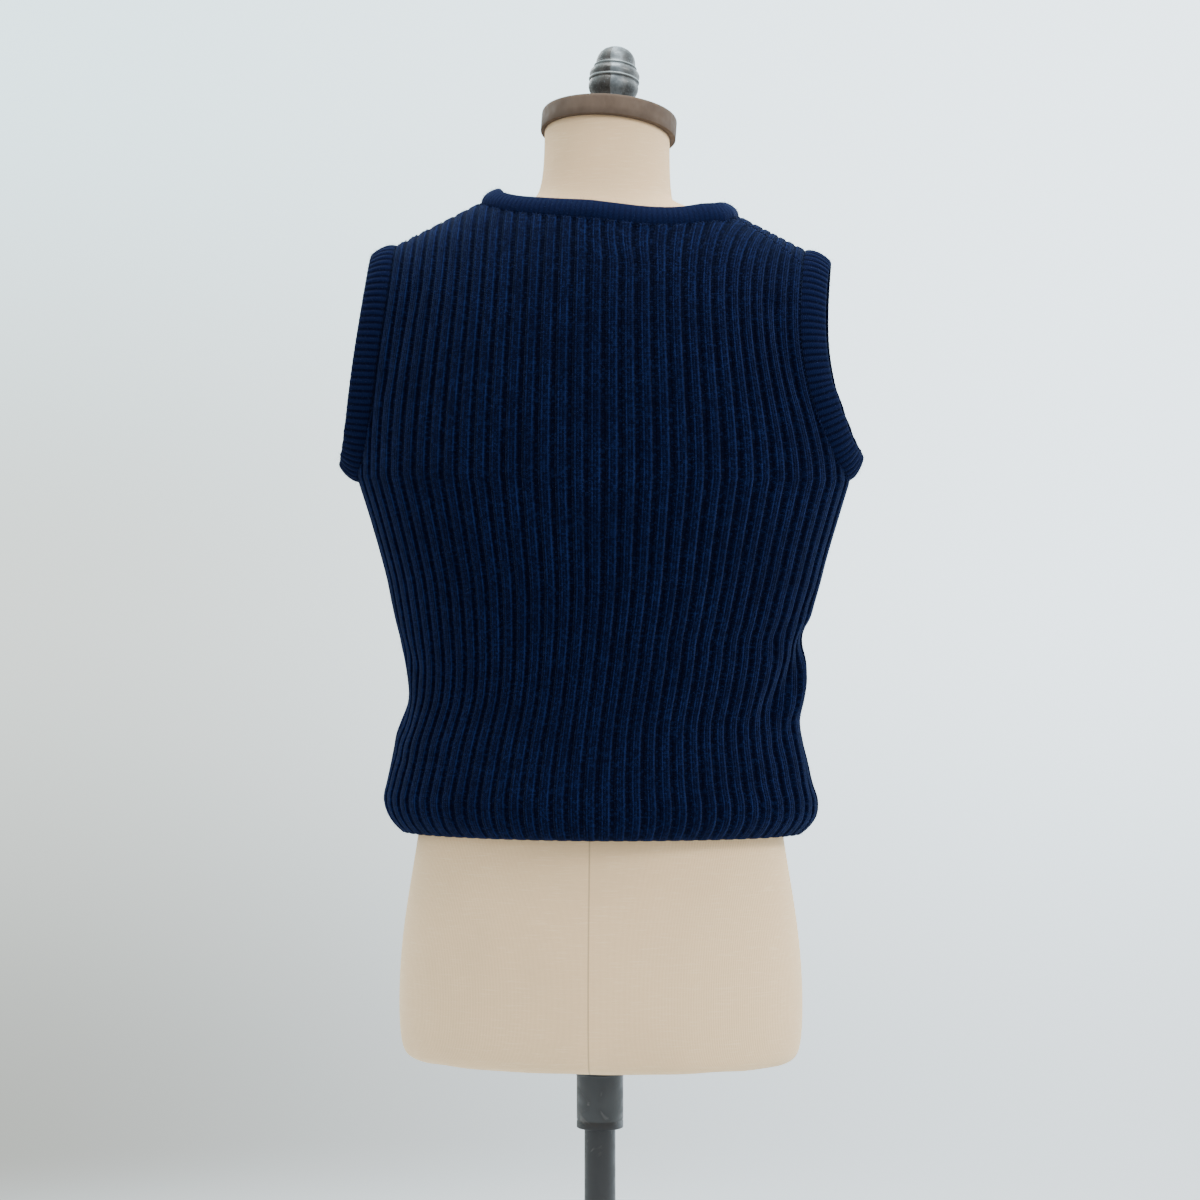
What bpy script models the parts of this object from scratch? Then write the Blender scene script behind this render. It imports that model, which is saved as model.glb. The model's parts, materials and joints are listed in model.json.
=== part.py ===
"""A wide-rib knitted sweater vest, worn by a limbless dress form on a stand.

Metres, +Z up. The front faces -Y, the wearer's left is +X, and the origin is on the floor under the pole.

Every point of the knit is named by two numbers. The first, k, counts ribs from the centre line, from -18 at
the right side seam to +18 at the left one. The second, run, follows a rib: 0 at the back hem, 1 at the
underarm level of the back, 2 on the shoulder ridge, 3 at the underarm level of the front, 4 at the front hem.
"""
import math

import bmesh
import bpy
import numpy as np
from mathutils import Matrix, Vector

# Knit: the wall and its ribs
WALL = 0.0032
RIB_DEPTH = 0.0017
CREST_START, CREST_END = 0.2, 0.8
SEAM_GAP = 0.0002

# Rib counts, from the centre line of a panel
SIDE_RIBS = 18
SHOULDER_RIBS = 15
NECK_RIBS = 8

# Heights of the garment
HEM_Z = 0.655
UNDERARM_Z = 0.972
RIDGE_NECK_Z = 1.220
V_POINT_Z = 1.010

# Shoulders: the ridge falls outwards from the neck corner
NECK_CORNER_X = 0.106
RIDGE_FALL = 0.50
RIDGE_RISE_TO_NECK = 0.25
NECK_DRAG = 0.0215
NECK_DRAG_AT, NECK_DRAG_IN, NECK_DRAG_OUT = 8.5, 3.4, 3.8
ARM_PULL = {1: 0.0020, -1: -0.0085}
ARM_PULL_FROM = 8
SHOULDER_SEAM_Y = {1: 0.008, -1: 0.034}
BACK_ROUND, FRONT_ROUND = 2.6, 2.2
SECTION_ROUND = 1.85

# Ribs above the underarm: their pitch at the centre line, and how it closes up outwards
RIB_PITCH = 0.01437
RIB_CLOSING = 0.0001405
PITCH_BLEND = 0.200

# The vest hangs lower on its right, and its ribs twist to the left below the chest
HANG = 0.022
HANG_FROM_Z, HANG_OVER = 0.880, 0.150
TWIST_RIBS = 1.35
TWIST_FROM_Z, TWIST_OVER = 0.890, 0.200

# Half widths and depths of the vest, hem to underarm
VEST_COLUMNS = ("z", "left", "right", "back", "front")
VEST_ROWS = (
    (0.655, 0.1795, 0.1805, 0.1010, 0.1060),
    (0.661, 0.1860, 0.1875, 0.1060, 0.1100),
    (0.669, 0.1920, 0.1935, 0.1095, 0.1130),
    (0.684, 0.1968, 0.1960, 0.1110, 0.1140),
    (0.702, 0.1935, 0.1908, 0.1090, 0.1130),
    (0.720, 0.1897, 0.1868, 0.1060, 0.1115),
    (0.738, 0.1874, 0.1824, 0.1025, 0.1105),
    (0.756, 0.1822, 0.1800, 0.1000, 0.1095),
    (0.774, 0.1773, 0.1836, 0.0985, 0.1090),
    (0.792, 0.1765, 0.1862, 0.0985, 0.1095),
    (0.810, 0.1782, 0.1872, 0.0995, 0.1105),
    (0.828, 0.1821, 0.1862, 0.1010, 0.1120),
    (0.846, 0.1861, 0.1905, 0.1030, 0.1140),
    (0.864, 0.1899, 0.1942, 0.1050, 0.1160),
    (0.882, 0.1935, 0.1989, 0.1075, 0.1180),
    (0.900, 0.1982, 0.2034, 0.1100, 0.1200),
    (0.936, 0.2090, 0.2136, 0.1140, 0.1230),
    (0.972, 0.2212, 0.2240, 0.1160, 0.1245),
)

# Top edge of the panels under the arm, and of the back at the neck
ARMHOLE_COLUMNS = ("k", "z")
ARMHOLE_ROWS = (
    (15, 1.050), (15.2, 1.024), (15.5, 1.005), (16, 0.990), (16.5, 0.982), (17, 0.976), (17.5, 0.9725), (18, 0.971),
)
NECK_COLUMNS = ("k", "z")
NECK_ROWS = (
    (-8, 1.2040), (-7, 1.1995), (-6, 1.1955), (-4, 1.1925), (-2, 1.1945),
    (0, 1.1980), (2, 1.2010), (4, 1.2045), (6, 1.2095), (7, 1.2140), (8, 1.2190),
)
V_BOW = 0.92
FRONT_DIP = 0.080

# The largest folds: a soft ridge (or a trough, where it is below zero) from one place to another
FOLD_COLUMNS = ("k_from", "run_from", "k_to", "run_to", "half_width", "height")
FOLD_ROWS = (
    (-17.6, 0.545, -14.6, 0.370, 0.016, -0.0060),
    (-17.9, 0.430, -17.0, 0.180, 0.020, 0.0030),
    (17.8, 0.420, 14.5, 0.300, 0.018, -0.0030),
    (17.6, 3.480, 13.5, 3.620, 0.018, -0.0045),
    (-17.4, 3.440, -12.5, 3.600, 0.020, -0.0050),
    (-6.0, 3.330, -9.5, 3.520, 0.030, -0.0035),
    (5.0, 3.400, 9.0, 3.560, 0.026, -0.0030),
)

# Rows of the panel meshes, as shares of the height up to the armhole, then of the way up to the top
LOWER_ROWS = (0.0, 0.02, 0.06, 0.125, 0.22, 0.33, 0.437, 0.58, 0.75, 1.0)
UPPER_ROWS = (0.34, 0.58, 0.74, 0.87, 1.0)

# Rib lines of the plain inner face on one side, and the extra ones at the neck corner
INNER_LINES = (0, 1, 2, 3, 4, 5, 6, 7, 7.8, 7.87, 7.94, 8, 9.5, 11, 13, 15, 15.2, 15.8, 16, 17, 18)
CORNER_LINES = ((7.87, 0.35), (7.94, 0.7))
CORNER_START = 7.8

# Armbands and neckband
BAND_WALL = 0.0042
FINE_RIB_DEPTH = 0.0007
BAND_GAP = 0.0005
BAND_BOW = 0.0026
ARMBAND_WIDTH = 0.0255
ARMBAND_RIBS = 84
ARMBAND_LEAN = {
    1: ((0.0, 0.25), (0.12, 0.50), (0.3, 0.70), (0.5, 0.40), (0.7, 0.50), (0.88, 0.35), (1.0, 0.25)),
    -1: ((0.0, 0.10), (0.12, 0.16), (0.28, 0.22), (0.5, 0.42), (0.7, 0.20), (0.88, 0.10), (1.0, 0.10)),
}
NECKBAND_WIDTH = 0.0195
NECKBAND_RIBS = 92
NECKBAND_MITRE_RUN = 0.090
NECKBAND_SOFTENING = 7

# Dress form
FORM_COLUMNS = ("z", "half", "back", "front")
FORM_ROWS = (
    (0.4500, 0.1660, 0.0860, 0.0840),
    (0.4535, 0.1760, 0.0940, 0.0900),
    (0.4640, 0.1820, 0.0985, 0.0930),
    (0.5000, 0.1840, 0.1010, 0.0940),
    (0.5500, 0.1820, 0.1000, 0.0935),
    (0.6000, 0.1750, 0.0950, 0.0925),
    (0.6500, 0.1660, 0.0880, 0.0915),
    (0.7000, 0.1600, 0.0840, 0.0905),
    (0.7500, 0.1555, 0.0815, 0.0905),
    (0.8000, 0.1550, 0.0815, 0.0920),
    (0.8500, 0.1640, 0.0850, 0.0955),
    (0.9000, 0.1780, 0.0910, 0.1005),
    (0.9400, 0.1900, 0.0965, 0.1045),
    (0.9720, 0.1980, 0.0995, 0.1065),
)
FORM_CLEARANCE = 0.0095
FORM_ROUND = 2.0
FORM_DIP = 0.0025
FORM_PLATE_X = 0.1990
FORM_PLATE_ROUND = 14
FORM_SIDES = 30
FORM_TOP_RINGS = (0.09, 0.20, 0.32, 0.46, 0.62, 0.80, 1.0)
NECK_BASE_HALF, NECK_BASE_DEPTH = 0.0640, 0.0650
NECK_TOP_RADIUS = 0.0570
NECK_SHIFT = Vector((-0.005, -0.012, 0.0))

CAP_CENTRE = Vector((-0.005, -0.014, 1.2815))
CAP_TILT_FORWARD = math.radians(11)
CAP_TILT_RIGHT = math.radians(3)
CAP_PROFILE = ((0.0585, 0.0), (0.0600, 0.0015), (0.0600, 0.0140), (0.0588, 0.0172), (0.0555, 0.0190))
CAP_SIDES = 36
PIECE_GAP = 0.0003
FINIAL_PROFILE = (
    (0.0165, 0.0000), (0.0165, 0.0090), (0.0180, 0.0150), (0.0210, 0.0205), (0.0226, 0.0250), (0.0222, 0.0290),
    (0.0212, 0.0312), (0.0222, 0.0332), (0.0224, 0.0380), (0.0215, 0.0425), (0.0204, 0.0448), (0.0209, 0.0466),
    (0.0206, 0.0510), (0.0188, 0.0570), (0.0150, 0.0625), (0.0085, 0.0662),
)
FINIAL_TOP = 0.0675
FINIAL_SIDES = 20

# Stand
SOCKET_PROFILE = ((0.0450, 0.4497), (0.0450, 0.4437), (0.0210, 0.4380), (0.0210, 0.3900))
POLE_RADIUS = 0.0140
POLE_TOP_Z = 0.3897
BASE_PROFILE = (
    (0.0220, 0.0640), (0.0240, 0.0420), (0.0300, 0.0300), (0.0700, 0.0230), (0.1500, 0.0170), (0.1860, 0.0140),
    (0.1950, 0.0090), (0.1950, 0.0000),
)
STAND_SIDES = 32

NAVY = (0.010, 0.022, 0.080)
NAVY_BAND = (0.012, 0.025, 0.085)
LINEN = (0.680, 0.590, 0.450)
CAP_BROWN = (0.165, 0.120, 0.088)
CAST_GREY = (0.210, 0.240, 0.255)
STAND_BLACK = (0.030, 0.030, 0.032)

SAMPLES = 96
STEP = 1e-4


def clear_scene():
    for thing in list(bpy.data.objects):
        bpy.data.objects.remove(thing, do_unlink=True)


def material(name, colour, roughness, metallic=0.0):
    made = bpy.data.materials.new(name)
    made.use_nodes = True
    shader = made.node_tree.nodes["Principled BSDF"]
    shader.inputs["Base Color"].default_value = (*colour, 1.0)
    shader.inputs["Roughness"].default_value = roughness
    shader.inputs["Metallic"].default_value = metallic
    return made


def table(columns, rows):
    """Turns rows with named columns into one array for each name."""
    return dict(zip(columns, np.array(rows, float).T))


def smooth_read(at, known, values):
    """Reads a smooth curve through known points at the places asked for."""
    slopes = np.gradient(values, known)
    i = np.clip(np.searchsorted(known, at) - 1, 0, len(known) - 2)
    span = known[i + 1] - known[i]
    t = np.clip((at - known[i]) / span, 0.0, 1.0)
    start = (1 + 2 * t) * (1 - t) ** 2 * values[i] + t * (1 - t) ** 2 * span * slopes[i]
    end = t * t * (3 - 2 * t) * values[i + 1] + t * t * (t - 1) * span * slopes[i + 1]
    return start + end


def ease(t):
    t = np.clip(t, 0.0, 1.0)
    return t * t * (3 - 2 * t)


def unit(vectors):
    return vectors / np.linalg.norm(vectors, axis=-1, keepdims=True)


VEST = table(VEST_COLUMNS, VEST_ROWS)
ARMHOLE = table(ARMHOLE_COLUMNS, ARMHOLE_ROWS)
NECK = table(NECK_COLUMNS, NECK_ROWS)
FOLDS = [dict(zip(FOLD_COLUMNS, row)) for row in FOLD_ROWS]
FORM = table(FORM_COLUMNS, FORM_ROWS)


def quarter(half, depth, share):
    """Points of a quarter of a body section, by their share of its length from the centre line."""
    turn = np.linspace(0.0, 1.0, SAMPLES) ** 1.4 * math.pi / 2
    xs = half[..., None] * np.sin(turn) ** (2 / SECTION_ROUND)
    ys = depth[..., None] * np.cos(turn).clip(0) ** (2 / SECTION_ROUND)
    steps = np.hypot(np.diff(xs), np.diff(ys))
    lengths = np.concatenate([np.zeros(steps.shape[:-1] + (1,)), np.cumsum(steps, axis=-1)], axis=-1)
    wanted = np.clip(share, 0, 1) * lengths[..., -1]
    i = np.clip((lengths < wanted[..., None]).sum(axis=-1) - 1, 0, SAMPLES - 2)[..., None]
    pick = [np.take_along_axis(a, j, axis=-1)[..., 0] for a in (lengths, xs, ys) for j in (i, i + 1)]
    t = (wanted - pick[0]) / (pick[1] - pick[0])
    return pick[2] + t * (pick[3] - pick[2]), pick[4] + t * (pick[5] - pick[4])


def ridge(x):
    """Height of the shoulder ridge at a distance from the centre line."""
    return RIDGE_NECK_Z - np.where(x > NECK_CORNER_X, RIDGE_FALL, RIDGE_RISE_TO_NECK) * (x - NECK_CORNER_X)


def rib_reach(ribs):
    """Distance from the centre line of a rib on the upper body."""
    return RIB_PITCH * ribs - RIB_CLOSING * ribs ** 2


def twist(z):
    return TWIST_RIBS * ease((TWIST_FROM_Z - z) / TWIST_OVER)


def plain_cloth(k, run):
    """Point of the unfolded knit's outer surface."""
    k, run = np.broadcast_arrays(np.asarray(k, float), np.asarray(run, float))
    in_front = run > 2
    climb = np.where(in_front, 4 - run, run)
    z = HEM_Z + np.clip(climb, 0, 1) * (UNDERARM_Z - HEM_Z)
    around = np.where(in_front, np.where(k >= 0, 2 * SIDE_RIBS, -2 * SIDE_RIBS) - k, k) + twist(z)
    around = (around + 2 * SIDE_RIBS) % (4 * SIDE_RIBS) - 2 * SIDE_RIBS
    side = np.where(around >= 0, 1, -1)
    in_front = np.abs(around) > SIDE_RIBS
    ribs = np.where(in_front, 2 * SIDE_RIBS - np.abs(around), np.abs(around))
    half = np.where(side > 0, smooth_read(z, VEST["z"], VEST["left"]), smooth_read(z, VEST["z"], VEST["right"]))
    depth = np.where(in_front, smooth_read(z, VEST["z"], VEST["front"]), smooth_read(z, VEST["z"], VEST["back"]))
    x, y = quarter(half, depth, ribs / SIDE_RIBS)
    angle = np.clip(climb - 1, 0, 1) * math.pi / 2
    power = 2 / np.where(in_front, FRONT_ROUND, BACK_ROUND)
    rise, fall = np.sin(angle) ** power, np.cos(angle).clip(0) ** power
    upper = climb > 1
    x_top = rib_reach(ribs)
    inward = ease((ridge(x_top) - UNDERARM_Z) * rise / PITCH_BLEND)
    spread = np.where(ribs < NECK_DRAG_AT, NECK_DRAG_IN, NECK_DRAG_OUT)
    drag = NECK_DRAG * np.exp(-((ribs - NECK_DRAG_AT) / spread) ** 2) * (side < 0) * rise ** 8
    pull = np.where(side > 0, ARM_PULL[1], ARM_PULL[-1]) * ease((ribs - ARM_PULL_FROM) / (SHOULDER_RIBS - ARM_PULL_FROM))
    x = np.where(upper, x + (x_top - x) * inward + drag + pull * np.sin(math.pi * rise) ** 2, x)
    reach = depth * (1 - np.clip(x / half, 0, 1) ** SECTION_ROUND) ** (1 / SECTION_ROUND)
    y = np.where(upper, reach * fall, y)
    z = np.where(upper, UNDERARM_Z + (ridge(x) - UNDERARM_Z) * rise, z)
    z = z + HANG * side * x * ease((z - HANG_FROM_Z) / HANG_OVER)
    return np.stack([side * x, np.where(in_front, -y, y), z], axis=-1)


def outward(k, run):
    """Direction square to the knit, away from the body."""
    along = plain_cloth(k, run + STEP) - plain_cloth(k, run - STEP)
    across = plain_cloth(k + 10 * STEP, run) - plain_cloth(k - 10 * STEP, run)
    return unit(np.cross(along, across))


def fold_height(k, run):
    """Height of all the folds at a place, measured across each one."""
    total = np.zeros(np.broadcast(k, run).shape)
    rib, body = RIB_PITCH, UNDERARM_Z - HEM_Z
    for fold in FOLDS:
        start = np.array([fold["k_from"] * rib, fold["run_from"] * body])
        way = np.array([fold["k_to"] * rib, fold["run_to"] * body]) - start
        length = np.hypot(*way)
        dx, dz = k * rib - start[0], run * body - start[1]
        along = (dx * way[0] + dz * way[1]) / length
        beside = (dx * way[1] - dz * way[0]) / length
        past = np.maximum(np.abs(along - length / 2) - length / 2, 0)
        total = total + fold["height"] * np.exp(-(beside ** 2 + past ** 2) / fold["half_width"] ** 2)
    return total


def cloth(k, run, depth=0.0):
    """Point of the knit at a depth under its rib crests, with its folds."""
    k, run = np.broadcast_arrays(np.asarray(k, float), np.asarray(run, float))
    lift = fold_height(k, run) - depth
    return plain_cloth(k, run) + outward(k, run) * lift[..., None]


def climb_to_height(k, z, roundness):
    """How far along a rib, from 0 at the hem to 2 at the ridge, a height lies."""
    reach = rib_reach(abs(k))
    level = z - HANG * math.copysign(reach, k) * float(ease((z - HANG_FROM_Z) / HANG_OVER))
    if level <= UNDERARM_Z:
        return (level - HEM_Z) / (UNDERARM_Z - HEM_Z)
    share = min((level - UNDERARM_Z) / (float(ridge(reach)) - UNDERARM_Z), 1.0)
    return 1 + math.asin(share ** (roundness / 2)) / (math.pi / 2)


def shoulder_seam_run(k):
    """Where a rib crosses the shoulder seam."""
    side = 1 if k >= 0 else -1
    reach = rib_reach(abs(k))
    half = VEST["left" if side > 0 else "right"][-1]
    deep = VEST["back"][-1] * (1 - (reach / half) ** SECTION_ROUND) ** (1 / SECTION_ROUND)
    return 1 + math.acos((SHOULDER_SEAM_Y[side] / deep) ** (BACK_ROUND / 2)) / (math.pi / 2)


def armhole_height(k, face):
    """Height at which a rib ends under the arm, or where the upper rows start: lower under the V."""
    dip = FRONT_DIP * float(ease(1 - abs(k) / NECK_RIBS)) if face == "front" else 0.0
    return float(smooth_read(max(abs(k), SHOULDER_RIBS), ARMHOLE["k"], ARMHOLE["z"])) - dip


def top_run(k, face):
    """Where a rib that reaches the shoulder or the neck ends."""
    if abs(k) >= NECK_RIBS:
        return shoulder_seam_run(k)
    if abs(k) > CORNER_START:
        turn = (NECK_RIBS - abs(k)) / (NECK_RIBS - CORNER_START)
        edge = top_run(math.copysign(CORNER_START, k), face)
        return shoulder_seam_run(k) * (1 - turn) + edge * turn
    if face == "back":
        return climb_to_height(k, float(smooth_read(k, NECK["k"], NECK["z"])), BACK_ROUND)
    edge_z = V_POINT_Z + (RIDGE_NECK_Z - V_POINT_Z) * (abs(k) / NECK_RIBS) ** V_BOW
    return 4 - climb_to_height(k, edge_z, FRONT_ROUND)


def rib_runs(k, face):
    """The places along one rib where the panel's mesh has a row."""
    roundness = BACK_ROUND if face == "back" else FRONT_ROUND
    side_top = armhole_height(k, face)
    heights = [HEM_Z + share * (side_top - HEM_Z) for share in LOWER_ROWS]
    climbs = [climb_to_height(k, z, roundness) for z in heights]
    climbs[0] = 0.0
    runs = climbs if face == "back" else [4 - climb for climb in climbs]
    if abs(k) > SHOULDER_RIBS + 1e-6:
        return runs
    end = top_run(k, face)
    fine = np.linspace(runs[-1], end, 60)
    points = plain_cloth(k, fine)
    lengths = np.concatenate([[0], np.cumsum(np.linalg.norm(np.diff(points, axis=0), axis=1))])
    whole = lengths[-1] - (SEAM_GAP if abs(k) > CORNER_START else 0.0)
    return runs + list(np.interp(np.array(UPPER_ROWS) * whole, lengths, fine))


def place_ribs(k):
    """Keeps a panel's outermost rib line clear of the side seam."""
    limit = SIDE_RIBS - SEAM_GAP / RIB_PITCH
    return max(-limit, min(limit, k))


def outer_lines():
    """Rib places and depths of the outer mesh lines: groove, crest, crest, groove and so on."""
    lines = []
    for rib in range(-SIDE_RIBS, SIDE_RIBS):
        lines += [(float(rib), RIB_DEPTH), (rib + CREST_START, 0.0), (rib + CREST_END, 0.0)]
    for place, share in CORNER_LINES:
        lines += [(place, share * RIB_DEPTH), (-place, share * RIB_DEPTH)]
    return sorted(lines + [(float(SIDE_RIBS), RIB_DEPTH)])


def inner_lines():
    places = {float(k) for k in INNER_LINES} | {-float(k) for k in INNER_LINES}
    return [(k, WALL) for k in sorted(places)]


def line_grid(lines, face):
    """Points of a set of rib lines, as a dictionary by line place and row."""
    grid = {}
    for k, depth in lines:
        placed = place_ribs(k)
        runs = np.array(rib_runs(placed, face))
        points = cloth(placed, runs, depth)
        for row, point in enumerate(points):
            grid[(k, row)] = point
    return grid


def bridge_rows(mesh, near, far):
    """Fills the strip between two edge lines, each a list of (place, vertex) in step."""
    i = j = 0
    while i < len(near) - 1 or j < len(far) - 1:
        step_near = j == len(far) - 1 or (i < len(near) - 1 and near[i + 1][0] <= far[j + 1][0] + 1e-9)
        if step_near:
            mesh.faces.new((near[i][1], near[i + 1][1], far[j][1]))
            i += 1
        else:
            mesh.faces.new((near[i][1], far[j + 1][1], far[j][1]))
            j += 1


def panel_edges(lines, low_top, top):
    """The border of a panel's grid, as named runs of grid keys in step order."""
    places = [k for k, _ in lines]
    side = float(SIDE_RIBS)
    arm = float(SHOULDER_RIBS)
    return {
        "hem": [(k, (k, 0)) for k in places],
        "left side": [(row, (side, row)) for row in range(low_top + 1)],
        "right side": [(row, (-side, row)) for row in range(low_top + 1)],
        "left underarm": [(k, (k, low_top)) for k in places if k >= arm],
        "right underarm": [(k, (k, low_top)) for k in places if k <= -arm],
        "left armhole": [(row, (arm, row)) for row in range(low_top, top + 1)],
        "right armhole": [(row, (-arm, row)) for row in range(low_top, top + 1)],
        "top": [(k, (k, top)) for k in places if -arm <= k <= arm],
    }


def mesh_object(name, mesh, slot):
    bmesh.ops.recalc_face_normals(mesh, faces=mesh.faces)
    data = bpy.data.meshes.new(name)
    mesh.to_mesh(data)
    mesh.free()
    data.materials.append(slot)
    made = bpy.data.objects.new(name, data)
    bpy.context.collection.objects.link(made)
    return made


def panel(name, face, slot):
    """One knitted panel: ribs outside, plain inside, closed along its edges."""
    low_top = len(LOWER_ROWS) - 1
    top = low_top + len(UPPER_ROWS)
    mesh = bmesh.new()
    borders = []
    for lines in (outer_lines(), inner_lines()):
        grid = line_grid(lines, face)
        verts = {key: mesh.verts.new(point) for key, point in grid.items()}
        for (left, _), (right, _) in zip(lines[:-1], lines[1:]):
            for row in range(top):
                corners = [(left, row), (right, row), (right, row + 1), (left, row + 1)]
                if all(corner in verts for corner in corners):
                    mesh.faces.new([verts[corner] for corner in corners])
        edges = panel_edges(lines, low_top, top)
        borders.append({edge: [(place, verts[key]) for place, key in keys] for edge, keys in edges.items()})
    for edge in borders[0]:
        bridge_rows(mesh, borders[0][edge], borders[1][edge])
    return mesh_object(name, mesh, slot)


def edge_line(lines, face, keys):
    """Edge points of a panel at one of its faces, without the rib relief."""
    level = lines[0][1] if lines[0][1] > RIB_DEPTH else 0.0
    points = []
    for k, row in keys:
        placed = place_ribs(k)
        points.append(cloth(placed, rib_runs(placed, face)[row], level))
    return points


def hole_keys(lines, side, hole):
    """The edge of an armhole or of the neck on one panel, from its first shoulder seam onwards."""
    low_top = len(LOWER_ROWS) - 1
    top = low_top + len(UPPER_ROWS)
    if hole == "arm":
        arm = float(SHOULDER_RIBS * side)
        down = [(arm, row) for row in range(top, low_top, -1)]
        under = sorted([k for k, _ in lines if k * side >= SHOULDER_RIBS], key=abs)
        return down + [(k, low_top) for k in under]
    across = [k for k, _ in lines if abs(k) <= NECK_RIBS]
    return [(k, top) for k in reversed(across)]


def hole_rail(side, hole):
    """Both faces of the whole edge round a hole, with a shared measure along it."""
    rails = []
    for lines in (outer_lines(), inner_lines()):
        keys = hole_keys(lines, side, hole)
        back = edge_line(lines, "back", keys)
        front = edge_line(lines, "front", keys)
        if hole == "arm":
            places = [top - row for top, row in [(keys[0][1], key[1]) for key in keys]]
            places = [place + (abs(key[0]) - SHOULDER_RIBS) for place, key in zip(places, keys)]
        else:
            places = [NECK_RIBS - key[0] for key in keys]
        whole = 2 * places[-1] + 1.0
        rails.append((np.array(places + [whole - place for place in reversed(places)]),
                      np.array(back + list(reversed(front)))))
    return rails


def rail_frame(rails, toward):
    """Inner points beside a rail's outer line, and the directions that lead out of the panel's edge."""
    places, outer = rails[0]
    inner = np.stack([np.interp(places, rails[1][0], rails[1][1][:, i]) for i in range(3)], axis=1)
    square = unit(outer - inner)
    along = unit(np.roll(outer, -1, axis=0) - np.roll(outer, 1, axis=0))
    out = unit(np.cross(along, square))
    if (out @ np.array(toward, float)).sum() < 0:
        out = -out
    return inner, out


def closed_lengths(points):
    steps = np.linalg.norm(np.roll(points, -1, axis=0) - points, axis=1)
    return np.concatenate([[0], np.cumsum(steps)])


def read_round(lengths, values, at):
    """Reads values given round a closed line at any length along it."""
    closed = np.vstack([values, values[:1]])
    at = np.mod(at, lengths[-1])
    return np.stack([np.interp(at, lengths, closed[:, i]) for i in range(3)], axis=1)


def soften(points, weights, times):
    """Evens out a closed line where its weights are above zero."""
    for _ in range(times):
        even = (np.roll(points, 1, axis=0) + 2 * points + np.roll(points, -1, axis=0)) / 4
        points = points + (even - points) * weights[:, None]
    return points


def band(name, rails, toward, ribs, width, lean, free_shift, softness, slot):
    """A doubled strip knitted on round a hole, with fine ribs across it and a round free edge."""
    outer = rails[0][1]
    inner, out = rail_frame(rails, toward)
    lengths = closed_lengths(outer)
    stations = np.arange(2 * ribs) / (2 * ribs) * lengths[-1]
    free_at = free_shift(stations)
    seam_out, seam_in = read_round(lengths, outer, stations), read_round(lengths, inner, stations)
    seam_way = unit(read_round(lengths, out, stations))
    way = unit(lean(unit(read_round(lengths, out, free_at)), free_at / lengths[-1]))
    middle = (read_round(lengths, outer, free_at) + read_round(lengths, inner, free_at)) / 2
    free = soften(middle + way * width, softness(stations), NECKBAND_SOFTENING)
    start = (seam_out + seam_in) / 2 + seam_way * BAND_GAP
    reach = free - start
    along = np.roll(start + reach / 2, -1, axis=0) - np.roll(start + reach / 2, 1, axis=0)
    square = unit(np.cross(unit(along), unit(reach)))
    if ((seam_out - seam_in) * square).sum() < 0:
        square = -square
    relief = np.where(np.arange(2 * ribs) % 2 == 0, 0.0, -FINE_RIB_DEPTH)[:, None]
    half = BAND_WALL / 2
    section = [
        seam_out + seam_way * BAND_GAP,
        start + reach * 0.45 + square * (half * 1.15 + BAND_BOW + relief),
        start + reach * 0.96 + square * (half * 0.7 + relief),
        start + reach * 0.94 - square * half * 0.8,
        seam_in + seam_way * BAND_GAP,
    ]
    mesh = bmesh.new()
    rings = [[mesh.verts.new(point) for point in line] for line in section]
    for ring, following in zip(rings, rings[1:] + rings[:1]):
        for i in range(2 * ribs):
            j = (i + 1) % (2 * ribs)
            mesh.faces.new((ring[i], ring[j], following[j], following[i]))
    return mesh_object(name, mesh, slot)


def armband(name, side, slot):
    def lean(way, share):
        amount = np.interp(share, *np.array(ARMBAND_LEAN[side]).T)[:, None]
        return way * (1 - amount) + np.array([side, 0, 0]) * amount

    rails = hole_rail(side, "arm")
    return band(name, rails, (side, 0, 0), ARMBAND_RIBS, ARMBAND_WIDTH, lean, lambda at: at, np.zeros_like, slot)


def neckband(name, slot):
    rails = hole_rail(1, "neck")
    lengths = closed_lengths(rails[0][1])
    outer = rails[0][1]
    lowest = int(np.argmin(outer[:, 2]))

    def lean(way, share):
        flatness = np.clip(way[:, 2:3], 0, 1)
        amount = 0.55 * (1 - flatness)
        return way * (1 - amount) + np.array([0, 0, 1]) * amount

    def free_shift(at):
        edge = unit(outer[lowest + 4] - outer[lowest])
        slope = abs(edge[0]) / math.hypot(edge[0], edge[2])
        mitre = NECKBAND_WIDTH * math.sqrt(1 - slope ** 2) / slope
        from_point = at - lengths[lowest]
        fade = np.clip(1 - np.abs(from_point) / NECKBAND_MITRE_RUN, 0, 1) ** 1.5
        return at + np.where(from_point >= 0, 1, -1) * mitre * fade

    def softness(at):
        return np.clip(np.abs(at - lengths[lowest]) / NECKBAND_MITRE_RUN - 0.5, 0, 1)

    return band(name, rails, (0, 0, 1), NECKBAND_RIBS, NECKBAND_WIDTH, lean, free_shift, softness, slot)


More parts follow.
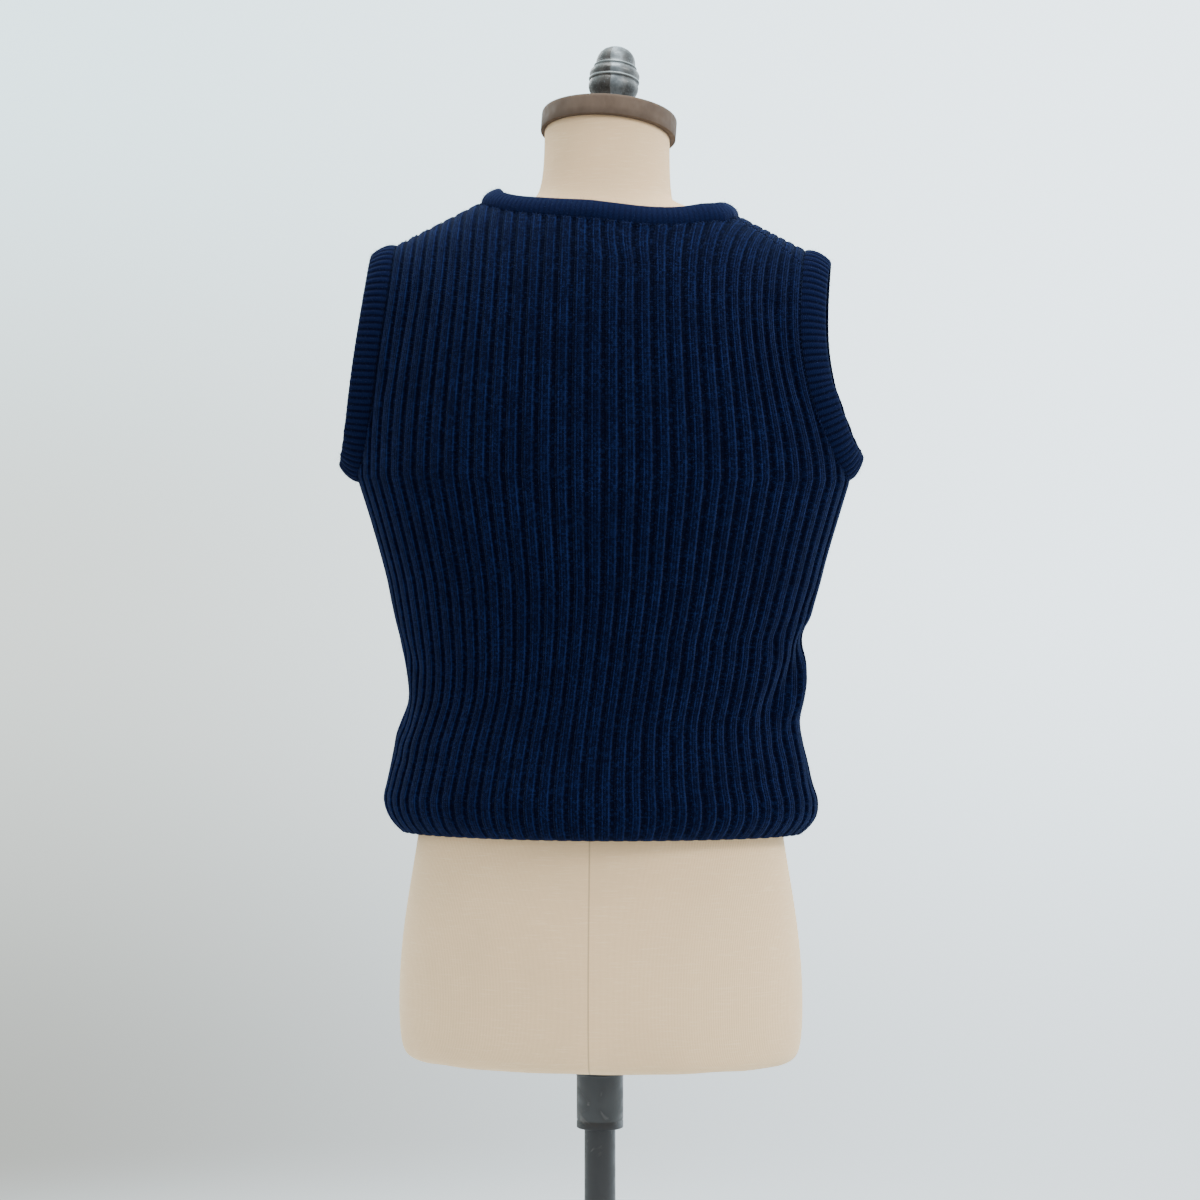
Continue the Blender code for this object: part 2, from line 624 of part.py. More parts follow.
def turned(name, profile, sides, slot, frame=Matrix.Identity(4), tip=None):
    """A turned piece from (radius, height) points, closed by a flat end or by a tip on the axis."""
    mesh = bmesh.new()
    rings = []
    for radius, height in profile:
        circle = bmesh.ops.create_circle(mesh, segments=sides, radius=radius)["verts"]
        for vert in circle:
            vert.co = frame @ Vector((vert.co.x, vert.co.y, height))
        rings.append(circle)
    for ring, following in zip(rings[:-1], rings[1:]):
        for i in range(sides):
            j = (i + 1) % sides
            mesh.faces.new((ring[i], ring[j], following[j], following[i]))
    mesh.faces.new(rings[0])
    if tip is None:
        mesh.faces.new(rings[-1])
    else:
        top = mesh.verts.new(frame @ Vector((0, 0, tip)))
        for i in range(sides):
            mesh.faces.new((rings[-1][i], rings[-1][(i + 1) % sides], top))
    made = mesh_object(name, mesh, slot)
    made.data.shade_smooth()
    made.data.set_sharp_from_angle(angle=math.radians(40))
    return made


def cap_frame():
    """Place and tilt of the neck cap: its underside's centre, leaning forward and to the right."""
    tilt = Matrix.Rotation(CAP_TILT_FORWARD, 4, "X") @ Matrix.Rotation(-CAP_TILT_RIGHT, 4, "Y")
    return Matrix.Translation(CAP_CENTRE) @ tilt


def form_height(x, y):
    """Height of the padded shoulders over a place on the floor plan."""
    last = {name: values[-1] for name, values in FORM.items()}
    deep = np.where(y >= 0, last["back"], last["front"])
    power = np.where(y >= 0, BACK_ROUND, FRONT_ROUND)
    ax = np.abs(x)
    reach = deep * (1 - np.clip(ax / last["half"], 0, 1) ** FORM_ROUND) ** (1 / FORM_ROUND)
    arch = (1 - np.clip(np.abs(y) / np.maximum(reach, 1e-6), 0, 1) ** power) ** (1 / power)
    plate = (1 - np.clip(ax / FORM_PLATE_X, 0, 1) ** FORM_PLATE_ROUND) ** (1 / FORM_PLATE_ROUND)
    dip = FORM_DIP * np.exp(-((x + 0.124) / 0.030) ** 2)
    top = ridge(ax) - FORM_CLEARANCE - dip - UNDERARM_Z
    return UNDERARM_Z + top * plate * arch


def form_torso(slot):
    """The torso up to the underarm in level rings, then the shoulders closing in on the neck."""
    turns = np.arange(FORM_SIDES) / FORM_SIDES * 2 * math.pi
    mesh = bmesh.new()
    rings = []
    power = 2 / FORM_ROUND
    shape_x = np.sign(np.cos(turns)) * np.abs(np.cos(turns)) ** power
    shape_y = np.sign(np.sin(turns)) * np.abs(np.sin(turns)) ** power
    for row in FORM_ROWS:
        z, half, back, front = row
        rings.append(np.stack([half * shape_x, np.where(shape_y >= 0, back, front) * shape_y,
                               np.full(FORM_SIDES, z)], axis=1))
    outline = rings[-1]
    neck = np.stack([NECK_BASE_HALF * np.cos(turns) + NECK_SHIFT.x * 0.5,
                     NECK_BASE_DEPTH * np.sin(turns) + NECK_SHIFT.y * 0.5], axis=1)
    for share in FORM_TOP_RINGS:
        inward = (1 - math.cos(share * math.pi / 2))
        plan = outline[:, :2] * (1 - inward) + neck * inward
        rings.append(np.column_stack([plan, form_height(plan[:, 0], plan[:, 1])]))
    frame = cap_frame()
    circle = np.stack([np.cos(turns), np.sin(turns)], axis=1) * NECK_TOP_RADIUS
    top = np.array([frame @ Vector((x, y, -PIECE_GAP)) for x, y in circle])
    base = rings[-1]
    for share, pull in ((0.16, 0.55), (0.40, 0.86), (0.70, 0.97)):
        mixed = base * (1 - share) + top * share
        plan = base[:, :2] * (1 - pull) + top[:, :2] * pull
        rings.append(np.column_stack([plan, mixed[:, 2]]))
    rings.append(top)
    verts = [[mesh.verts.new(point) for point in ring] for ring in rings]
    for ring, following in zip(verts[:-1], verts[1:]):
        for i in range(FORM_SIDES):
            j = (i + 1) % FORM_SIDES
            mesh.faces.new((ring[i], ring[j], following[j], following[i]))
    mesh.faces.new(verts[0])
    mesh.faces.new(verts[-1])
    made = mesh_object("form_torso", mesh, slot)
    made.data.shade_smooth()
    made.data.set_sharp_from_angle(angle=math.radians(50))
    return made


def build():
    clear_scene()
    knit = material("navy rib knit", NAVY, 0.95)
    fine_knit = material("navy fine rib", NAVY_BAND, 0.95)
    linen = material("linen cover", LINEN, 0.90)
    cap = material("brown neck cap", CAP_BROWN, 0.55)
    cast = material("cast grey metal", CAST_GREY, 0.45, 0.8)
    iron = material("black stand", STAND_BLACK, 0.45)

    panel("vest_back", "back", knit)
    panel("vest_front", "front", knit)
    neckband("neckband", fine_knit)
    armband("armband_left", 1, fine_knit)
    armband("armband_right", -1, fine_knit)

    form_torso(linen)
    frame = cap_frame()
    turned("form_cap", CAP_PROFILE, CAP_SIDES, cap, frame)
    seat = Matrix.Translation((0, 0, CAP_PROFILE[-1][1] + PIECE_GAP))
    turned("form_finial", FINIAL_PROFILE, FINIAL_SIDES, cast, frame @ seat, FINIAL_TOP)
    turned("stand_socket", SOCKET_PROFILE, STAND_SIDES, iron)
    pole = ((POLE_RADIUS, POLE_TOP_Z), (POLE_RADIUS, BASE_PROFILE[0][1] + PIECE_GAP))
    turned("stand_pole", pole, STAND_SIDES, iron)
    turned("stand_base", BASE_PROFILE, STAND_SIDES, iron)


build()
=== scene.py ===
"""Looks of the wide-rib sweater vest on its dress form: knit, seams, wool, linen, cap, finial and stand."""
import json
import math

import bmesh
import bpy
import numpy as np
from mathutils import Matrix, Vector

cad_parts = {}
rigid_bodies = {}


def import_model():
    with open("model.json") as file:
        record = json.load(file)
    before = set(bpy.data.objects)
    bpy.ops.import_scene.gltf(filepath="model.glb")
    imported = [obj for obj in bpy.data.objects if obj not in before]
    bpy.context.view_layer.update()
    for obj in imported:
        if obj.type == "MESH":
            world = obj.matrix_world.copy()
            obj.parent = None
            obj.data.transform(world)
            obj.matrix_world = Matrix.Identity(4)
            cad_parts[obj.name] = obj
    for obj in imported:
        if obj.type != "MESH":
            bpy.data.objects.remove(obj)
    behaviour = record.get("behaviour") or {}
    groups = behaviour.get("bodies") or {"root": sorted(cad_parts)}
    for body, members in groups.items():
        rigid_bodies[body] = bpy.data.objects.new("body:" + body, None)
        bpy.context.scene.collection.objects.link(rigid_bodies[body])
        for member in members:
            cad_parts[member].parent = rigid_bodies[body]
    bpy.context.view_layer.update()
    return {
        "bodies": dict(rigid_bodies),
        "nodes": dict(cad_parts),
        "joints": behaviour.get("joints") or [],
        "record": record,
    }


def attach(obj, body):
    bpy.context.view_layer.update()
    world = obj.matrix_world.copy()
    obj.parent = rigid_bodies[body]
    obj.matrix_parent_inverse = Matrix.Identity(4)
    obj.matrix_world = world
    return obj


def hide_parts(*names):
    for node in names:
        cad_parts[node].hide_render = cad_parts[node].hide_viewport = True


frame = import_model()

# The knit's own measures, as in the solids
WALL = 0.0032
RIB_DEPTH, RIB_DOME = 0.0021, 0.00030
GROOVE_HALF, GROOVE_SIDE = 0.095, 0.145
SIDE_RIBS = 18
SHOULDER_RIBS = 15
NECK_RIBS = 8
HEM_Z = 0.655
UNDERARM_Z = 0.972
RIDGE_NECK_Z = 1.220
V_POINT_Z = 1.010
NECK_CORNER_X = 0.106
RIDGE_FALL = 0.50
RIDGE_RISE_TO_NECK = 0.25
NECK_DRAG = 0.0215
NECK_DRAG_AT, NECK_DRAG_IN, NECK_DRAG_OUT = 8.5, 3.4, 3.8
ARM_PULL = {1: 0.0020, -1: -0.0085}
ARM_PULL_FROM = 8
SHOULDER_SEAM_Y = {1: 0.008, -1: 0.034}
BACK_ROUND, FRONT_ROUND = 2.6, 2.2
SECTION_ROUND = 1.85
RIB_PITCH = 0.01437
RIB_CLOSING = 0.0001405
PITCH_BLEND = 0.200
HANG = 0.022
HANG_FROM_Z, HANG_OVER = 0.880, 0.150
TWIST_RIBS = 1.35
TWIST_FROM_Z, TWIST_OVER = 0.890, 0.200
V_BOW = 0.92
FRONT_DIP = 0.080
CORNER_START = 7.8
EDGE_GAP = 0.00003
SHOULDER_FLATNESS = 0.60
HEM_RELIEF, HEM_RELIEF_OVER = 0.22, 0.085
SHOULDER_FLAT_FROM, SHOULDER_FLAT_OVER = 1.40, 0.45
RIPPLE_SHIFT = 0.0042
RIPPLE_AT, RIPPLE_SPREAD = -2.3, 2.1
RIPPLE_Z, RIPPLE_TOP_Z, RIPPLE_RUN = 1.140, 1.205, 0.030

VEST_COLUMNS = ("z", "left", "right", "back", "front")
VEST_ROWS = (
    (0.655, 0.1795, 0.1805, 0.1010, 0.1060),
    (0.661, 0.1860, 0.1875, 0.1060, 0.1100),
    (0.669, 0.1920, 0.1935, 0.1095, 0.1130),
    (0.684, 0.1968, 0.1960, 0.1110, 0.1140),
    (0.702, 0.1935, 0.1908, 0.1090, 0.1130),
    (0.720, 0.1897, 0.1868, 0.1060, 0.1115),
    (0.738, 0.1874, 0.1824, 0.1025, 0.1105),
    (0.756, 0.1822, 0.1800, 0.1000, 0.1095),
    (0.774, 0.1773, 0.1836, 0.0985, 0.1090),
    (0.792, 0.1765, 0.1862, 0.0985, 0.1095),
    (0.810, 0.1782, 0.1872, 0.0995, 0.1105),
    (0.828, 0.1821, 0.1862, 0.1010, 0.1120),
    (0.846, 0.1861, 0.1905, 0.1030, 0.1140),
    (0.864, 0.1899, 0.1942, 0.1050, 0.1160),
    (0.882, 0.1935, 0.1989, 0.1075, 0.1180),
    (0.900, 0.1982, 0.2034, 0.1100, 0.1200),
    (0.936, 0.2090, 0.2136, 0.1140, 0.1230),
    (0.972, 0.2212, 0.2240, 0.1160, 0.1245),
)
ARMHOLE_COLUMNS = ("k", "z")
ARMHOLE_ROWS = (
    (15, 1.050), (15.2, 1.024), (15.5, 1.005), (16, 0.990),
    (16.5, 0.982), (17, 0.976), (17.5, 0.9725), (18, 0.971),
)
NECK_COLUMNS = ("k", "z")
NECK_ROWS = (
    (-8, 1.2040), (-7, 1.1995), (-6, 1.1955), (-4, 1.1925), (-2, 1.1945),
    (0, 1.1980), (2, 1.2010), (4, 1.2045), (6, 1.2095), (7, 1.2140), (8, 1.2190),
)
FOLD_COLUMNS = ("k_from", "run_from", "k_to", "run_to", "half_width", "height")
FOLD_ROWS = (
    (-17.6, 0.545, -14.6, 0.370, 0.016, -0.0060),
    (-17.9, 0.430, -17.0, 0.180, 0.020, 0.0030),
    (17.8, 0.420, 14.5, 0.300, 0.018, -0.0030),
    (17.6, 3.480, 13.5, 3.620, 0.018, -0.0045),
    (-17.4, 3.440, -12.5, 3.600, 0.020, -0.0050),
    (-6.0, 3.330, -9.5, 3.520, 0.030, -0.0035),
    (5.0, 3.400, 9.0, 3.560, 0.026, -0.0030),
)
# Small creases that only the finished knit shows
CREASE_ROWS = (
    (-16.8, 0.640, -13.8, 0.560, 0.009, -0.0014),
    (-17.3, 0.330, -14.8, 0.240, 0.008, -0.0012),
    (16.9, 0.560, 14.0, 0.470, 0.009, -0.0012),
    (16.5, 0.250, 13.2, 0.200, 0.008, -0.0010),
    (-2.1, 1.520, -1.4, 1.300, 0.006, 0.0012),
    (-3.3, 1.560, -2.4, 1.340, 0.007, -0.0012),
    (-13.9, 1.180, -12.6, 1.420, 0.010, -0.0016),
    (13.8, 1.200, 12.4, 1.460, 0.010, -0.0014),
    (13.6, 2.780, 12.0, 2.500, 0.012, -0.0018),
    (-13.4, 2.820, -11.6, 2.540, 0.012, -0.0016),
    (16.8, 3.360, 13.9, 3.420, 0.009, -0.0015),
    (-16.6, 3.600, -13.6, 3.660, 0.009, -0.0014),
    (0.5, 3.640, 3.5, 3.720, 0.016, -0.0012),
)

# Armbands and neckband
BAND_WALL = 0.0042
FINE_RIB_DEPTH = {"arm": 0.0007, "neck": 0.00017}
BAND_GAP = 0.0003
BAND_BOW, BAND_GRIP, BAND_ROUND_FROM = 0.0026, 0.22, 0.86
ARMBAND_WIDTH = 0.0255
ARMBAND_RIBS = 84
ARMBAND_LEAN = {
    1: ((0.0, 0.25), (0.12, 0.50), (0.3, 0.70), (0.5, 0.40), (0.7, 0.50), (0.88, 0.35), (1.0, 0.25)),
    -1: ((0.0, 0.10), (0.12, 0.16), (0.28, 0.22), (0.5, 0.42), (0.7, 0.20), (0.88, 0.10), (1.0, 0.10)),
}
NECKBAND_WIDTH = 0.0195
NECKBAND_RIBS = 184
NECKBAND_MITRE_RUN = 0.090
NECKBAND_UPRIGHT = 0.55
NECK_ROLL, NECK_ROLL_X, NECK_ROLL_SPREAD = 0.0055, 0.104, 0.016
NECK_LIFT, NECK_LIFT_X, NECK_LIFT_SPREAD = 0.0022, -0.099, 0.015
NECK_LIFT_FROM_Y, NECK_LIFT_OVER = 0.010, 0.030
NECKBAND_SOFTENING = 250

SAMPLES = 96
STEP = 1e-4

# How finely the sheets are made
RIB_LINES = (0.0, 0.11, 0.145, 0.18, 0.215, 0.26, 0.38, 0.5, 0.62, 0.74, 0.785, 0.82, 0.855, 0.89)
INNER_RIB_LINES = (0.0, 0.5)
CORNER_LINES = (7.8, 7.87, 7.94, 15.2, 15.8)
LOWER_SHARES = np.concatenate([[0, 0.006, 0.014, 0.024, 0.036, 0.050, 0.066], np.linspace(0.084, 1.0, 78)])
UPPER_SHARES = np.linspace(0, 1, 59)[1:]
STATIONS_PER_RIB = {"arm": 8, "neck": 6}

# Form, cap, finial and stand
CAP_CENTRE = Vector((-0.0059, -0.0140, 1.2836))
NECK_TOP_RAISE, NECK_TOP_Z, NECK_TOP_OVER = 0.0022, 1.235, 0.035
CREASE_OVER, QUADS_UNDER = math.radians(50), math.radians(60)
SIDE_SEAM_Y = -0.002
THREAD_PITCH, WARP_THREADS = 0.00075, 620.0
CAP_TILT = Matrix.Rotation(math.radians(11), 4, "X") @ Matrix.Rotation(math.radians(-3), 4, "Y")
CAP_HEIGHT = 0.0186
PIECE_GAP = 0.0003
FINIAL_ASIDE, FINIAL_LEAN = 0.0009, 0.022
CAP_OUTLINE = (
    (0.0598, 0.0000), (0.0608, 0.0002), (0.0612, 0.0007), (0.0613, 0.0070), (0.0613, 0.0156),
    (0.0611, 0.0173), (0.0607, 0.0181), (0.0598, 0.0185), (0.0575, 0.0186),
)
CAST_LINE_X = -0.0092
LIP_HIGHLIGHTS = (0.0338, 0.0462)
FINIAL_OUTLINE = (
    (0.0164, 0.0000), (0.0165, 0.0006), (0.0165, 0.0095), (0.0168, 0.0125), (0.0175, 0.0150),
    (0.0187, 0.0178), (0.0204, 0.0206), (0.0218, 0.0233), (0.0226, 0.0260), (0.0227, 0.0284),
    (0.0222, 0.0306), (0.0217, 0.0320), (0.0221, 0.0326), (0.0230, 0.0333), (0.0231, 0.0341),
    (0.0224, 0.0349), (0.0218, 0.0354), (0.0221, 0.0366), (0.0227, 0.0382), (0.0227, 0.0398),
    (0.0219, 0.0417), (0.0204, 0.0435), (0.0192, 0.0447), (0.0188, 0.0453), (0.0192, 0.0458),
    (0.0196, 0.0464), (0.0193, 0.0470), (0.0184, 0.0476), (0.0180, 0.0484), (0.0179, 0.0504),
    (0.0175, 0.0532), (0.0166, 0.0562), (0.0149, 0.0592), (0.0123, 0.0619), (0.0086, 0.0640),
    (0.0044, 0.0649), (0.0006, 0.0651),
)
SOCKET_OUTLINE = (
    (0.0205, 0.3900), (0.0210, 0.3905), (0.0210, 0.3960), (0.0206, 0.3966), (0.0206, 0.3976),
    (0.0210, 0.3982), (0.0210, 0.4360), (0.0216, 0.4385), (0.0240, 0.4398), (0.0440, 0.4434),
    (0.0448, 0.4440), (0.0450, 0.4448), (0.0450, 0.4492), (0.0446, 0.4497),
)
POLE_OUTLINE = ((0.0140, 0.0643), (0.0140, 0.3897))
BASE_OUTLINE = (
    (0.1946, 0.0000), (0.1950, 0.0006), (0.1950, 0.0080), (0.1944, 0.0100), (0.1928, 0.0118),
    (0.1900, 0.0131), (0.1860, 0.0140), (0.1500, 0.0170), (0.1100, 0.0200), (0.0700, 0.0230),
    (0.0480, 0.0258), (0.0360, 0.0285), (0.0300, 0.0315), (0.0262, 0.0360), (0.0240, 0.0420),
    (0.0228, 0.0520), (0.0222, 0.0610), (0.0221, 0.0632), (0.0213, 0.0640),
)

# Colours of knit and bands: painted shade for the rib hollows, also used for darker stitches; the crests; and
# lighter fibres, also used for painted highlights
KNIT_COLOURS = ((0.0009, 0.0015, 0.0062), (0.0012, 0.0022, 0.0096), (0.0080, 0.0155, 0.0640))
BAND_COLOURS = ((0.0014, 0.0024, 0.0098), (0.0032, 0.0056, 0.0230), (0.0066, 0.0118, 0.0470))
# Painted highlights along knit columns on a rib, where they catch the light: place across it, half width and
# strength
COLUMN_HIGHLIGHTS = ((0.765, 0.070, 1.0), (0.560, 0.045, 0.30), (0.360, 0.055, 0.75))
WOOL = {"Roughness": 0.95, "Specular_IOR_Level": 0.02, "Sheen_Weight": 0.10, "Sheen_Roughness": 0.35,
        "Sheen_Tint": (0.28, 0.42, 0.90, 1)}

# Backdrop colours low down, level and high up: left then right
BACKDROP = (
    ((0.68, 0.71, 0.67), (1.72, 1.96, 2.10)),
    ((1.42, 1.55, 1.50), (2.65, 3.10, 3.38)),
    ((2.05, 2.70, 2.90), (2.90, 3.40, 3.70)),
)
BEHIND_CAMERA = (1.00, 1.03, 1.06)
CAMERA_PLACE = (-0.282, 2.685, 0.8642)
FLOOR_RADIUS, FLOOR_FADE = 3.2, (0.7, 2.2)

# Lights: name, place, what they point at, size and power
LIGHTS = (
    ("key", (-2.2, 1.4, 2.7), (0, 0, 1.0), 1.2, 72),
    ("overhead", (0.1, 0.1, 3.1), (0, 0, 1.0), 1.5, 70),
    ("left fill", (2.6, 1.7, 1.9), (0, 0, 0.9), 1.8, 5),
    ("front key", (2.1, -2.2, 2.5), (0, 0, 1.0), 1.6, 52),
    ("front fill", (-2.4, -2.0, 1.8), (0, 0, 0.9), 1.8, 20),
)


# Camera, floor and light
def linked(name, data):
    """A new object in the scene."""
    made = bpy.data.objects.new(name, data)
    bpy.context.scene.collection.objects.link(made)
    return made


def aim(seen, place, towards):
    seen.location = place
    seen.rotation_euler = (Vector(towards) - Vector(place)).to_track_quat("-Z", "Y").to_euler()


def camera():
    data = bpy.data.cameras.new("camera")
    data.lens, data.sensor_width = 90.0, 36.0
    seen = linked("camera", data)
    aim(seen, CAMERA_PLACE, (0, 0, CAMERA_PLACE[2]))
    bpy.context.scene.camera = seen


class Nodes:
    """Short ways to add nodes to a material's or a backdrop's tree."""

    def __init__(self, tree):
        self.tree = tree

    def put(self, value, socket):
        """Links an output to a socket, or sets the socket to a plain value."""
        if isinstance(value, bpy.types.NodeSocket):
            self.tree.links.new(value, socket)
        else:
            socket.default_value = value

    def node(self, kind, inputs=None, **settings):
        """Adds a shader node: its settings by name, and its inputs as values or as outputs to link."""
        made = self.tree.nodes.new("ShaderNode" + kind)
        for name, value in settings.items():
            setattr(made, name, value)
        for name, value in (inputs or {}).items():
            self.put(value, made.inputs[name])
        return made

    def maths(self, operation, *values):
        return self.node("Math", dict(enumerate(values)), operation=operation).outputs[0]

    def add(self, first, second):
        return self.maths("ADD", first, second)

    def times(self, first, second):
        return self.maths("MULTIPLY", first, second)

    def less(self, first, second):
        return self.maths("SUBTRACT", first, second)

    def apart(self, first, second):
        return self.maths("ABSOLUTE", self.less(first, second))

    def wave(self, turns):
        return self.maths("SINE", self.times(turns, 2 * math.pi))

    def parts(self, vector):
        return self.node("SeparateXYZ", {0: vector}).outputs

    def joined(self, x, y):
        return self.node("CombineXYZ", {0: x, 1: y}).outputs[0]

    def stretched(self, vector, scale):
        return self.node("Mapping", {"Vector": vector, "Scale": scale}).outputs[0]

    def noise(self, place, scale, detail, **more):
        inputs = {"Vector": place, "Scale": scale, "Detail": detail, **more}
        return self.node("TexNoise", inputs).outputs["Fac"]

    def graded(self, value, low, high, to_low=0.0, to_high=1.0):
        """Maps a value's range to another, smoothly and with clamped ends."""
        return self.node("MapRange", {0: value, 1: low, 2: high, 3: to_low, 4: to_high},
                         interpolation_type="SMOOTHSTEP").outputs[0]

    def mix(self, share, first, second):
        """Blends two colours, each plain or linked."""
        first, second = ((*c, 1.0) if isinstance(c, tuple) else c for c in (first, second))
        return self.node("Mix", {0: share, 6: first, 7: second}, data_type="RGBA").outputs[2]


class Finish(Nodes):
    """A material being made, with its shader's plain values set."""

    def __init__(self, name, **shader_values):
        self.made = bpy.data.materials.new(name)
        self.made.use_nodes = True
        super().__init__(self.made.node_tree)
        self.shader = self.tree.nodes["Principled BSDF"]
        self.place = self.node("TexCoord").outputs["Object"]
        for socket, value in shader_values.items():
            self.shader.inputs[socket.replace("_", " ")].default_value = value

    def surface(self, base, height, strength, distance, roughness=None):
        """Drives the colour, the small relief and, where given, the roughness."""
        self.put(base, self.shader.inputs["Base Color"])
        bump = self.node("Bump", {"Height": height, "Strength": strength, "Distance": distance})
        self.put(bump.outputs[0], self.shader.inputs["Normal"])
        if roughness is not None:
            self.put(roughness, self.shader.inputs["Roughness"])
        return self.made


def floor():
    bpy.ops.mesh.primitive_circle_add(vertices=128, radius=FLOOR_RADIUS, fill_type="NGON")
    plane = bpy.context.object
    plane.name = "floor"
    pale = Finish("pale floor", Roughness=0.9, Specular_IOR_Level=0.1, Base_Color=(0.66, 0.68, 0.68, 1))
    away = pale.node("VectorMath", {0: pale.place}, operation="LENGTH").outputs["Value"]
    clear = pale.node("BsdfTransparent").outputs[0]
    mixed = pale.node("MixShader", {0: pale.graded(away, *FLOOR_FADE), 1: pale.shader.outputs[0], 2: clear})
    pale.put(mixed.outputs[0], pale.tree.nodes["Material Output"].inputs["Surface"])
    plane.data.materials.append(pale.made)


def studio():
    """Lights from above and from the right, and a pale backdrop that is darker low down and to the left."""
    for name, place, towards, size, power in LIGHTS:
        data = bpy.data.lights.new(name, "AREA")
        data.shape, data.size, data.energy = "DISK", size, power
        aim(linked(name, data), place, towards)
    world = bpy.data.worlds.new("studio")
    bpy.context.scene.world = world
    world.use_nodes = True
    sky = Nodes(world.node_tree)
    sideways, depth, height = sky.parts(sky.node("TexCoord").outputs["Generated"])
    low, level, high = (sky.mix(sky.graded(sideways, -0.10, 0.32), right, left) for left, right in BACKDROP)
    shade = sky.mix(sky.graded(height, -0.18, 0.02), low, level)
    shade = sky.mix(sky.graded(height, 0.0, 0.20), shade, high)
    shade = sky.mix(sky.graded(depth, -0.5, 0.5), shade, BEHIND_CAMERA)
    sky.put(shade, sky.tree.nodes["Background"].inputs["Color"])


# Materials
def knit_material():
    """Wide rib: knit columns on each crest and sunk purl columns between, courses along the rib; painted
    shade in the hollows, painted highlights on the columns and stitches.
    """
    knit = Finish("navy rib knit", **WOOL)
    across, along, _ = knit.parts(knit.node("UVMap", uv_map="knit").outputs[0])
    inside_rib = knit.maths("FRACT", knit.add(across, 64.0))
    crest = knit.graded(knit.apart(inside_rib, 0.5), 0.40, 0.30)
    column = knit.add(knit.times(across, 6.0), 600.5)
    in_column = knit.apart(knit.maths("FRACT", column), 0.5)
    course = knit.times(along, 9.0)
    lean = knit.add(course, knit.times(in_column, 1.1))
    stitch = knit.times(knit.add(knit.times(knit.wave(lean), 0.5), 0.9), knit.graded(in_column, 0.5, 0.28))
    purl = knit.add(knit.times(knit.wave(course), 0.5), 0.4)
    relief = knit.node("Mix", {0: crest, 2: purl, 3: stitch}, data_type="FLOAT").outputs[0]
    one_stitch = knit.node("VectorMath", {0: knit.joined(column, lean)}, operation="FLOOR").outputs[0]
    uneven = knit.node("TexWhiteNoise", {"Vector": one_stitch}, noise_dimensions="2D").outputs["Value"]
    lint = knit.noise(knit.place, 800.0, 3.0)
    patches = knit.noise(knit.place, 30.0, 3.0)
    highlight_streaks = knit.noise(knit.joined(knit.times(across, 2.3), knit.times(along, 0.55)), 1.0, 3.0)
    deep, mid, light_fibre_and_highlight = KNIT_COLOURS
    # Painted shade: the hollows between the crests take the dark colour
    base = knit.mix(crest, deep, mid)
    # Painted highlights: light lines along the knit columns, strongest near one edge of each crest, varied in
    # strength by long streaks
    lines = 0.0
    for at, reach, strength in COLUMN_HIGHLIGHTS:
        line = knit.graded(knit.apart(inside_rib, at), reach, reach * 0.25)
        lines = knit.maths("MAXIMUM", lines, knit.times(line, strength))
    base = knit.mix(knit.times(lines, knit.graded(highlight_streaks, 0.30, 0.62, 0.35, 1.0)), base, light_fibre_and_highlight)
    # Painted highlight on the raised middle of each stitch
    base = knit.mix(knit.times(knit.graded(stitch, 0.5, 1.4), 0.20), base, light_fibre_and_highlight)
    base = knit.mix(knit.graded(uneven, 0.60, 1.0, 0.0, 0.34), base, light_fibre_and_highlight)
    base = knit.mix(knit.graded(uneven, 0.45, 0.0, 0.0, 0.55), base, deep)
    # Lighter fibre flecks, fainter in the hollows as part of their painted shade
    flecks = knit.times(knit.graded(lint, 0.57, 0.70), knit.graded(crest, 0.0, 1.0, 0.25, 0.60))
    base = knit.mix(flecks, base, light_fibre_and_highlight)
    base = knit.mix(knit.graded(patches, 0.35, 0.7, 0.0, 0.30), base, mid)
    return knit.surface(base, knit.add(relief, knit.times(lint, 0.9)), 0.8, 0.0005)


def fine_rib_material(name, rib_contrast):
    """Doubled one-and-one rib of a band: narrow ribs across it, stitches along each; painted shade between
    the ribs and painted highlights on the crests' stitches.
    """
    rib = Finish(name, **WOOL)
    across, along, _ = rib.parts(rib.node("UVMap", uv_map="knit").outputs[0])
    from_middle = rib.apart(rib.maths("FRACT", rib.add(across, 64.5)), 0.5)
    crest = rib.graded(from_middle, 0.42, 0.18, 0.75 * (1 - rib_contrast), 1.0)
    course = rib.add(rib.times(along, 3.7), rib.times(from_middle, 1.4))
    stitch = rib.add(rib.times(rib.wave(course), 0.5), 0.5)
    lint = rib.noise(rib.place, 900.0, 3.0)
    deep, mid, light_fibre_and_highlight = BAND_COLOURS
    # Painted shade: the hollows between the fine ribs take the dark colour, less where rib_contrast is low
    base = rib.mix(crest, deep, mid)
    # Painted highlight on the stitches along each crest
    base = rib.mix(rib.times(rib.times(stitch, crest), 0.30), base, light_fibre_and_highlight)
    base = rib.mix(rib.graded(lint, 0.55, 0.75, 0.0, 0.45), base, light_fibre_and_highlight)
    return rib.surface(base, rib.add(rib.times(stitch, 0.8), rib.times(lint, 0.9)), 0.7, 0.00045)


def yarn_material():
    """Loose wool: the seams' yarn and the fibres that stand out of the knit."""
    yarn = Finish("navy yarn", Roughness=0.9, Specular_IOR_Level=0.05, Sheen_Weight=0.15, Sheen_Roughness=0.4,
                  Sheen_Tint=WOOL["Sheen_Tint"])
    ply = yarn.noise(yarn.place, 700.0, 2.0)
    base = yarn.mix(yarn.graded(ply, 0.38, 0.65), KNIT_COLOURS[1], KNIT_COLOURS[2])
    return yarn.surface(base, ply, 0.5, 0.0003)


